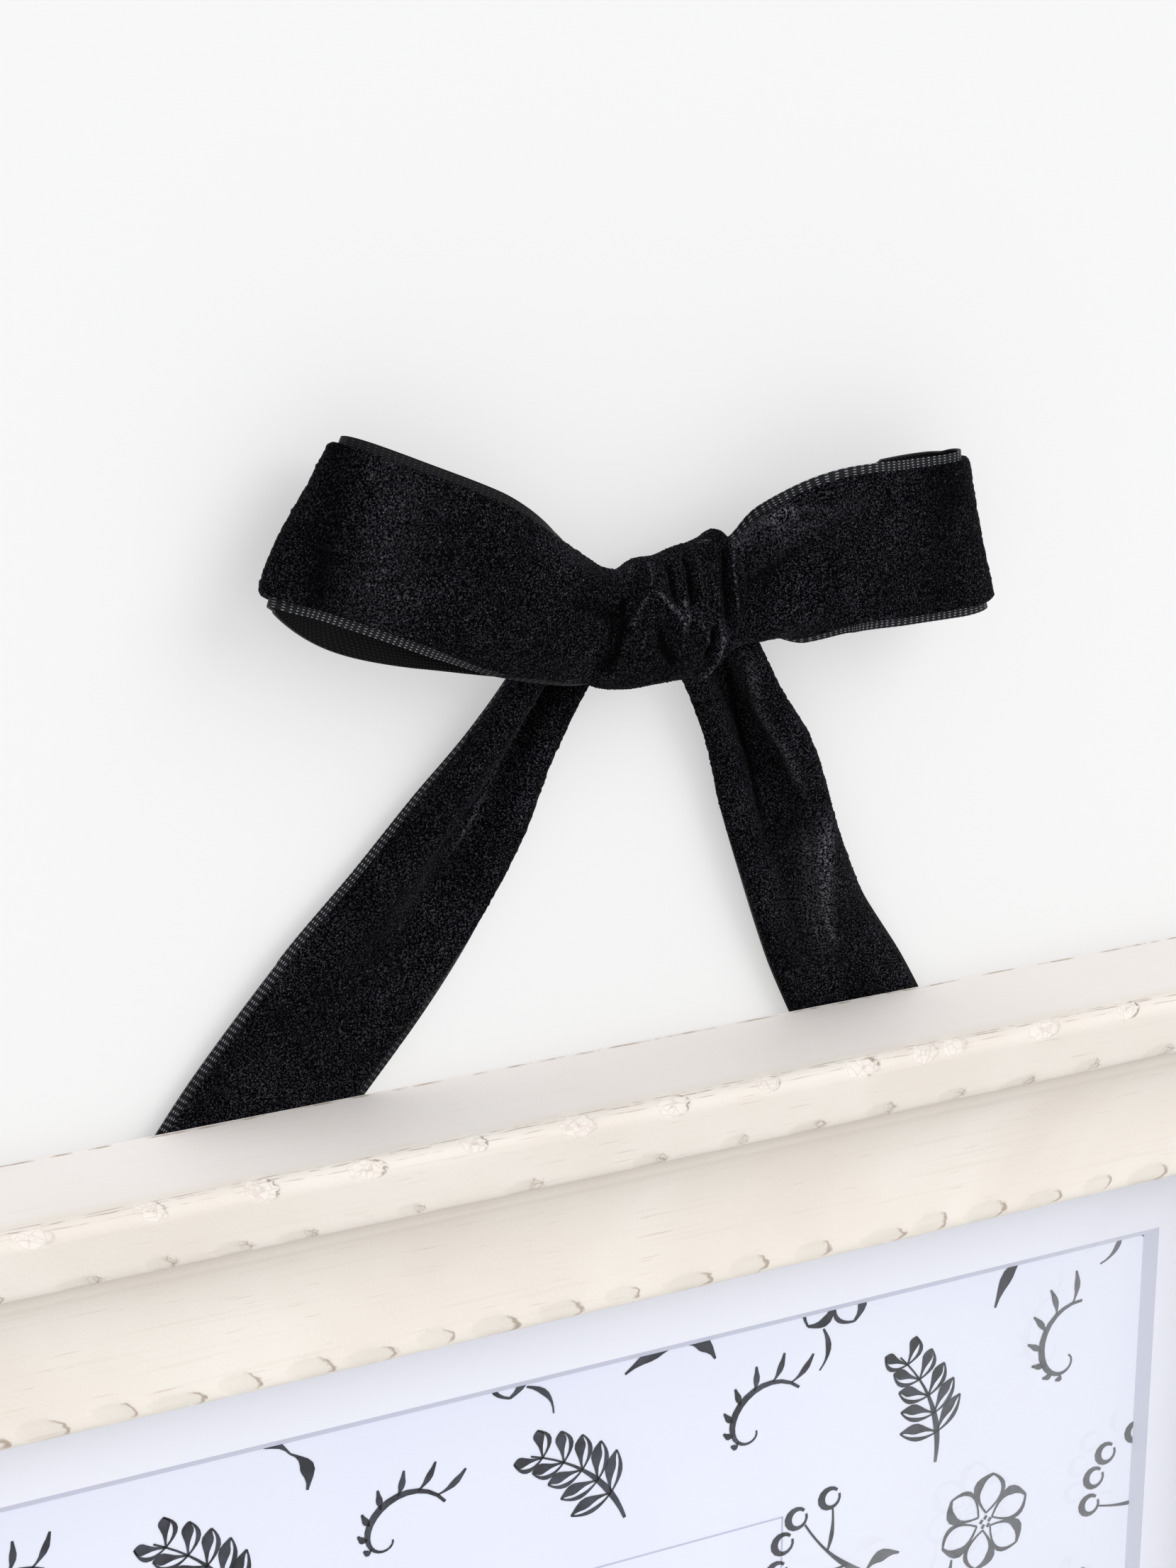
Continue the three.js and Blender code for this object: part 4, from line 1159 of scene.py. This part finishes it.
def ribbon_piece(
    name, route, shape, folds, shine, rows, pleats=2, phase=0.0, most=None, crown=None
):
    """A stretch of the ribbon as one closed strip. Shape rows: across x, y, z, width share, two curls.

    Shine rows tell how bright each selvage is, and crown where, how far and how high the pile stands open.
    A leg also has most, how far its pleats may rise along it, and stands off the wall.
    """
    t, middle, run = laid_route(route, rows)
    facts = curve(shape, t)
    way = np.gradient(middle, axis=0)
    way /= np.linalg.norm(way, axis=1, keepdims=True)
    across = facts[:, :3]
    across = across - (across * way).sum(1, keepdims=True) * way
    across /= np.linalg.norm(across, axis=1, keepdims=True)
    out = np.cross(way, across)

    side, lift = strip_section()
    flat = np.linspace(-ribbon_width / 2, ribbon_width / 2, fold_samples)
    slope = gathered(flat, facts, pleats, phase)
    step = flat[1] - flat[0]
    reach = np.cumsum(np.cos(slope), axis=1) * step
    reach -= (reach.max(axis=1, keepdims=True) + reach.min(axis=1, keepdims=True)) / 2
    rise_of = np.cumsum(np.sin(slope), axis=1) * step
    if most is None:
        rise_of -= rise_of.max(axis=1, keepdims=True)
    else:
        depth = rise_of.max(axis=1, keepdims=True) - rise_of.min(axis=1, keepdims=True)
        rise_of = rise_of * np.minimum(1, curve([(value,) for value in most], t) / (depth + 1e-9))
        depth = rise_of.max(axis=1, keepdims=True) - rise_of.min(axis=1, keepdims=True)
        room = np.clip(-middle[:, 1:2] - leg_stand, 0, None)
        rise_of -= rise_of.min(axis=1, keepdims=True) + np.minimum(depth / 2, room)

    random = np.random.RandomState(len(name))
    spots, highs, lean = [
        np.array([np.interp(side, flat, row) for row in values]) for values in (reach, rise_of, slope)
    ]
    along = np.repeat(run[:, None], len(side), axis=1)
    beside = np.repeat(side[None, :], rows, axis=0)
    bump, light = creased(along, beside, folds)
    is_pile = (lift > selvage_face + 0.0001)[None, :]
    lifts = lift[None, :] + bump + is_pile * random.normal(0, pile_noise, spots.shape)
    if crown is not None:
        crown_at, crown_reach, crown_height = crown
        opened = np.exp(-(((run / run[-1] - crown_at) / crown_reach) ** 2))[:, None]
        fuller = np.clip(1.6 - 0.8 * np.abs(beside) / pile_half, 0, 1)
        lifts = lifts + crown_height * opened * is_pile * fuller
    bright = curve(shine, t)
    shines = np.where(beside < 0, bright[:, :1], bright[:, 1:])
    spots = spots - np.sin(lean) * lifts
    highs = highs + np.cos(lean) * lifts
    points = middle[:, None, :] + across[:, None, :] * spots[:, :, None]
    points = points + out[:, None, :] * highs[:, :, None]
    around = np.concatenate([[0], np.cumsum(np.hypot(np.diff(side), np.diff(lift)))])
    piece = lofted(name, points, run, around, {"painted_fold_light": light, "shine": shines})
    woven_faces(piece.data, around)
    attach(piece, "frame")
    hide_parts(f"ribbon_{name}")


left_route = [
    (-0.0050, -0.0105, 0.0110),
    (-0.0118, -0.0118, 0.0120),
    (-0.0201, -0.0127, 0.0160),
    (-0.0294, -0.0131, 0.0213),
    (-0.0402, -0.0129, 0.0262),
    (-0.0471, -0.0119, 0.0291),
    (-0.0498, -0.0088, 0.0297),
    (-0.0474, -0.0054, 0.0276),
    (-0.0402, -0.0041, 0.0220),
    (-0.0299, -0.0049, 0.0186),
    (-0.0190, -0.0060, 0.0142),
    (-0.0060, -0.0068, 0.0115),
]
left_shape = [
    (-0.06, 0, -1, 0.48, 2.40, 1.00),
    (-0.08, 0, -1, 0.68, 1.90, 0.80),
    (-0.20, 0, -1, 0.88, 0.90, 0.70),
    (-0.29, 0, -1, 0.99, 0.20, 0.25),
    (-0.36, 0, -1, 1.00, 0.15, 0.20),
    (-0.53, 0, -1, 1.00, 0.10, 0.15),
    (-0.74, 0, -1, 1.00, 0.00, 0.28),
    (-0.53, 0, -1, 1.00, 0.00, 0.28),
    (-0.42, 0, -1, 1.00, 0.00, 0.00),
    (-0.32, 0, -1, 0.95, 0.00, 0.00),
    (-0.22, 0, -1, 0.70, 0.00, 0.00),
    (-0.10, 0, -1, 0.45, 0.00, 0.00),
]
left_shine = [(0.1, 0.1), (0.1, 0.25), (0.1, 0.8), (0.12, 1), (0.15, 1), (0.15, 0.8), (0.2, 0.4)]
left_shine += [(0.2, 0.2), (0.2, 0.2)]
# Folds: points along and across, height, width and painted lightness
left_folds = [
    ([(0.000, -0.0030), (0.008, -0.0042), (0.017, -0.0060)], 0.0005, 0.0013, 0.1),
    ([(0.000, 0.0010), (0.007, -0.0006), (0.014, -0.0020)], -0.0005, 0.0012, -0.5),
    ([(0.000, 0.0048), (0.006, 0.0040), (0.013, 0.0050)], 0.0005, 0.0012, 0.1),
    # Painted only, with no height: shade where the loop turns, faint light beside it, and shade near the
    # knot
    ([(0.0490, -0.0160), (0.0470, 0.0000), (0.0455, 0.0160)], 0.0, 0.0040, -0.8),
    ([(0.0420, -0.0160), (0.0400, 0.0000), (0.0385, 0.0160)], 0.0, 0.0090, 0.06),
    ([(0.0020, -0.0060), (0.0080, -0.0010), (0.0160, 0.0040)], 0.0, 0.0120, -0.35),
]
left_crown = (0.5, 0.035, 0.0012)
ribbon_piece(
    "left_loop",
    left_route,
    left_shape,
    left_folds,
    left_shine,
    310,
    crown=left_crown,
)

right_route = [
    (0.0030, -0.0102, 0.0115),
    (0.0080, -0.0115, 0.0134),
    (0.0115, -0.0123, 0.0147),
    (0.0160, -0.0129, 0.0162),
    (0.0240, -0.0132, 0.0187),
    (0.0338, -0.0130, 0.0188),
    (0.0422, -0.0118, 0.0189),
    (0.0454, -0.0086, 0.0187),
    (0.0430, -0.0052, 0.0180),
    (0.0350, -0.0045, 0.0174),
    (0.0224, -0.0048, 0.0159),
    (0.0134, -0.0058, 0.0136),
    (0.0040, -0.0068, 0.0122),
]
right_shape = [
    (0.15, 0, 1, 0.34, 1.80, 1.80),
    (-0.08, 0, 1, 0.52, 1.70, 1.70),
    (0.24, 0, 1, 0.64, 1.15, 1.15),
    (-0.03, 0, 1, 0.91, 0.30, 0.35),
    (-0.06, 0, 1, 1.00, 0.10, 0.15),
    (-0.14, 0, 1, 1.00, 0.10, 0.15),
    (-0.20, 0, 1, 1.00, 0.00, 0.00),
    (-0.25, 0, 1, 1.00, 0.00, 0.00),
    (-0.18, 0, 1, 1.00, 0.00, 0.00),
    (-0.12, 0, 1, 1.00, 0.00, 0.00),
    (-0.07, 0, 1, 0.80, 0.00, 0.00),
    (-0.03, 0, 1, 0.42, 0.00, 0.00),
    (0.00, 0, 1, 0.34, 0.00, 0.00),
]
right_shine = [(0.5, 0.7), (1, 0.9), (1, 1), (1, 1), (1, 1), (0.9, 1), (0.5, 0.6), (0.5, 0.5)]
# Folds: points along and across, height, width and painted lightness
right_folds = [
    (
        [(0.004, 0.0052), (0.009, 0.0066), (0.0125, 0.0082), (0.0158, 0.0086), (0.019, 0.0074)],
        0.0009,
        0.0010,
        0.35,
    ),
    # A broad painted highlight
    ([(0.0125, 0.0074), (0.0150, 0.0082), (0.0175, 0.0080)], 0.0002, 0.0024, 0.4),
    ([(0.004, 0.0084), (0.010, 0.0098), (0.014, 0.0104)], -0.0006, 0.0010, -1.0),
    ([(0.004, 0.0010), (0.010, 0.0018), (0.017, 0.0040)], -0.0006, 0.0017, -0.6),
    ([(0.010, 0.0064), (0.018, 0.0056), (0.026, 0.0066)], 0.0002, 0.0020, 0.12),
    # Painted only, with no height: shade over the loop's end
    ([(0.0370, -0.0160), (0.0375, 0.0000), (0.0380, 0.0160)], 0.0, 0.0090, -0.55),
]
right_crown = (0.5, 0.035, 0.0009)
ribbon_piece(
    "right_loop",
    right_route,
    right_shape,
    right_folds,
    right_shine,
    290,
    crown=right_crown,
)


# Ribbon legs: from the knot down behind the top rail, where staples hold the tails
# The same strip. The left leg spreads to its full width, and the right one stays gathered in soft folds.
left_leg_reach = 0.0544
right_leg_reach = 0.0339
tail_drop = 0.018
tail_y = -0.0016
left_tail_slope = 0.78
right_tail_slope = 0.45


def tail(way, reach, slope):
    """The last points of a leg, flat on the back of the top rail."""
    return [
        (way * (reach + slope * share * tail_drop), tail_y, rail_top - share * tail_drop)
        for share in (0, 0.5, 1)
    ]


left_leg_route = [
    (-0.0096, -0.0040, 0.0105),
    (-0.0142, -0.0040, 0.0050),
    (-0.0196, -0.0038, -0.0036),
    (-0.0258, -0.0034, -0.0135),
    (-0.0339, -0.0026, -0.0245),
    (-0.0438, -0.0021, -0.0355),
] + tail(-1, left_leg_reach, left_tail_slope)
left_leg_shape = [
    (1, 0, -0.60, 0.36, 0.10, 0.90),
    (1, 0, -0.70, 0.39, 0.10, 0.90),
    (1, 0, -0.76, 0.50, 0.10, 0.85),
    (1, 0, -0.88, 0.75, 0.05, 0.60),
    (1, 0, -0.76, 0.91, 0.00, 0.30),
    (1, 0, -0.78, 1.00, 0.00, 0.05),
    (1, 0, -0.82, 1.00, 0.00, 0.00),
    (1, 0, -0.80, 1.00, 0.00, 0.00),
    (1, 0, -0.80, 1.00, 0.00, 0.00),
]
left_leg_shine = [(0.8, 0.1), (0.95, 0.1), (1, 0.2), (1, 0.4), (1, 0.7), (1, 0.7)]
left_leg_folds = [
    ([(0.008, 0.0005), (0.022, -0.0012), (0.038, -0.0030)], -0.0006, 0.0012, -1.0),
    ([(0.008, 0.0038), (0.022, 0.0020), (0.036, 0.0004)], 0.0005, 0.0010, 0.35),
    # Painted only, with no height: shade down the middle of the leg
    ([(0.024, -0.0060), (0.036, -0.0030), (0.050, 0.0000)], 0.0, 0.0090, -0.20),
]
left_leg_most = (0.009, 0.009, 0.009, 0.009, 0.005, 0.0025, 0.0006, 0.0006, 0.0006)
ribbon_piece(
    "left_leg",
    left_leg_route,
    left_leg_shape,
    left_leg_folds,
    left_leg_shine,
    260,
    pleats=1.5,
    phase=0.8,
    most=left_leg_most,
)

right_leg_route = [
    (0.0060, -0.0042, 0.0095),
    (0.0095, -0.0041, 0.0050),
    (0.0139, -0.0039, -0.0036),
    (0.0183, -0.0036, -0.0126),
    (0.0227, -0.0029, -0.0248),
    (0.0280, -0.0023, -0.0370),
] + tail(1, right_leg_reach, right_tail_slope)
right_leg_shape = [
    (1, 0, 0.19, 0.37, 1.30, 0.50),
    (1, 0, 0.19, 0.36, 1.35, 0.50),
    (1, 0, 0.19, 0.41, 1.40, 0.50),
    (1, 0, 0.20, 0.62, 1.30, 0.40),
    (1, 0, 0.30, 0.665, 1.15, 0.15),
    (1, 0, 0.24, 0.75, 0.95, 0.00),
    (1, 0, 0.22, 0.85, 0.60, 0.00),
    (1, 0, 0.40, 0.93, 0.35, 0.00),
    (1, 0, 0.45, 0.95, 0.20, 0.00),
]
right_leg_shine = [(0.05, 0.05), (0.05, 0.05), (0.05, 0.05), (0.08, 0.15), (0.1, 0.2)]
right_leg_folds = [
    ([(0.006, 0.0000), (0.020, -0.0030), (0.036, -0.0042)], -0.0005, 0.0013, -1.0),
    ([(0.006, 0.0045), (0.017, 0.0030), (0.030, 0.0036)], 0.0006, 0.0008, 0.40),
    ([(0.033, 0.0056), (0.045, 0.0030), (0.056, 0.0012)], 0.0003, 0.0013, 0.75),
    # Painted only, with no height: a broad highlight low on the leg
    ([(0.034, 0.0030), (0.044, 0.0016), (0.056, -0.0009)], 0.0, 0.0042, 0.40),
]
right_leg_most = (0.009, 0.009, 0.009, 0.009, 0.006, 0.0028, 0.0006, 0.0006, 0.0006)
ribbon_piece(
    "right_leg",
    right_leg_route,
    right_leg_shape,
    right_leg_folds,
    right_leg_shine,
    240,
    pleats=1.5,
    phase=2.4,
    most=right_leg_most,
)


# Knot: the ribbon wound tight round the neck of the bow
# Velvet all over, drawn in creases from top to bottom, with a rolled lip where the right leg leaves it.
# Light is painted along the creases, and painted shade darkens the whole knot.
knot_x = (-0.0105, 0.0084)
knot_y = -0.0081
knot_half_depth = 0.0063
knot_slant = 0.0015
knot_rows = 150
knot_columns = 240
# Rows along the knot, evenly spaced: height of its middle, and half its height
knot_rings = [
    (0.01110, 0.00610),
    (0.01115, 0.00695),
    (0.01120, 0.00740),
    (0.01133, 0.00778),
    (0.01162, 0.00823),
    (0.01162, 0.00832),
    (0.01165, 0.00830),
    (0.01180, 0.00840),
    (0.01203, 0.00858),
    (0.01220, 0.00870),
    (0.01233, 0.00877),
    (0.01250, 0.00890),
    (0.01277, 0.00912),
    (0.01315, 0.00935),
    (0.01280, 0.00860),
    (0.01275, 0.00675),
]
# Creases, as shares along the knot and round it, where 0.25 is the top, 0.5 the front, 0.75 underneath,
# then height, width and painted lightness
knot_creases = [
    ([(0.919, 0.29), (0.869, 0.405), (0.894, 0.46), (0.95, 0.525)], 0.0003, 0.0005, 0.8),
    ([(0.838, 0.318), (0.812, 0.422), (0.863, 0.517), (0.844, 0.537)], -0.0008, 0.0010, -1.0),
    ([(0.67, 0.27), (0.79, 0.286)], 0.0003, 0.0009, 0.8),
    ([(0.606, 0.323), (0.613, 0.358), (0.606, 0.397), (0.625, 0.45)], 0.0006, 0.0007, 0.4),
    ([(0.481, 0.417), (0.506, 0.46), (0.55, 0.5)], 0.0004, 0.0009, 0.8),
    ([(0.25, 0.383), (0.344, 0.425), (0.431, 0.455), (0.488, 0.488), (0.519, 0.525)], 0.0008, 0.0006, 1.0),
    ([(0.25, 0.383), (0.169, 0.41), (0.119, 0.438), (0.075, 0.473)], 0.0007, 0.0007, 0.8),
    ([(0.281, 0.29), (0.25, 0.383)], 0.0006, 0.0006, 0.5),
    ([(0.219, 0.258), (0.169, 0.277), (0.119, 0.307)], 0.0005, 0.0009, 0.6),
    ([(0.569, 0.473), (0.631, 0.5), (0.7, 0.527), (0.756, 0.573)], 0.0006, 0.0007, 0.5),
    ([(0.788, 0.508), (0.838, 0.555), (0.838, 0.6), (0.825, 0.65), (0.763, 0.685)], 0.0010, 0.0009, 1.0),
    ([(0.194, 0.65), (0.425, 0.662), (0.619, 0.66)], 0.0002, 0.0008, 0.4),
    ([(0.0, 0.655), (0.069, 0.615)], 0.0003, 0.0009, 0.5),
    ([(0.556, 0.30), (0.55, 0.412), (0.575, 0.463)], -0.0007, 0.0008, -1.0),
    ([(0.425, 0.29), (0.419, 0.392), (0.45, 0.435)], -0.0007, 0.0008, -1.0),
    ([(0.2, 0.53), (0.206, 0.47)], 0.0004, 0.0006, 0.5),
    ([(0.03, 0.27), (0.05, 0.388), (0.04, 0.54), (0.013, 0.63)], -0.0006, 0.0012, -1.0),
    ([(0.312, 0.475), (0.375, 0.53), (0.519, 0.605)], -0.0006, 0.0011, -1.0),
    ([(0.163, 0.31), (0.15, 0.397), (0.062, 0.448), (0.031, 0.527)], -0.0005, 0.0009, -0.4),
    ([(0.738, 0.51), (0.775, 0.555), (0.769, 0.605)], -0.0007, 0.0009, -1.0),
]
knot_ends_share = 0.06
knot_end_size = 0.72
knot_crease_width = 0.8
knot_round = 0.0074
knot_shade = 0.3
along_share = np.linspace(0, 1, knot_rows)
round_share = np.linspace(0, 1, knot_columns)
rings = curve(knot_rings, along_share)
angle = 2 * math.pi * round_share
knot_span = knot_x[1] - knot_x[0]
round_length = 2 * math.pi * knot_round
along = np.repeat(along_share[:, None], knot_columns, axis=1)
across = np.repeat(round_share[None, :], knot_rows, axis=0)
scaled = [
    ([(x * knot_span, y * round_length) for x, y in line_points], high, knot_crease_width * wide, bright)
    for line_points, high, wide, bright in knot_creases
]
lift, light = creased(along * knot_span, across * round_length, scaled)
random = np.random.RandomState(7)
rounded = np.clip(np.minimum(along_share, 1 - along_share) / knot_ends_share, 0, 1)
rounded = np.sqrt(1 - (1 - rounded) ** 2)[:, None]
lift += random.normal(0, pile_noise, lift.shape)
lift[:, -1] = lift[:, 0]
shrink = knot_end_size + (1 - knot_end_size) * rounded
tall = rings[:, 1:2] * shrink + lift * rounded
deep = knot_half_depth * shrink + lift * rounded
points = np.empty((knot_rows, knot_columns, 3))
points[:, :, 0] = (knot_x[0] + along_share * knot_span)[:, None] + knot_slant * np.sin(angle)
points[:, :, 1] = knot_y + deep * np.cos(angle)
points[:, :, 2] = rings[:, :1] + tall * np.sin(angle)
# Painted shade over the whole knot, under the light painted along its creases
shaded = {"painted_fold_light": light - knot_shade}
knot = lofted("knot", points, along_share * knot_span, round_share * round_length, shaded)
knot.data.materials.append(velvet_pile)
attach(knot, "frame")
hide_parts("ribbon_knot")
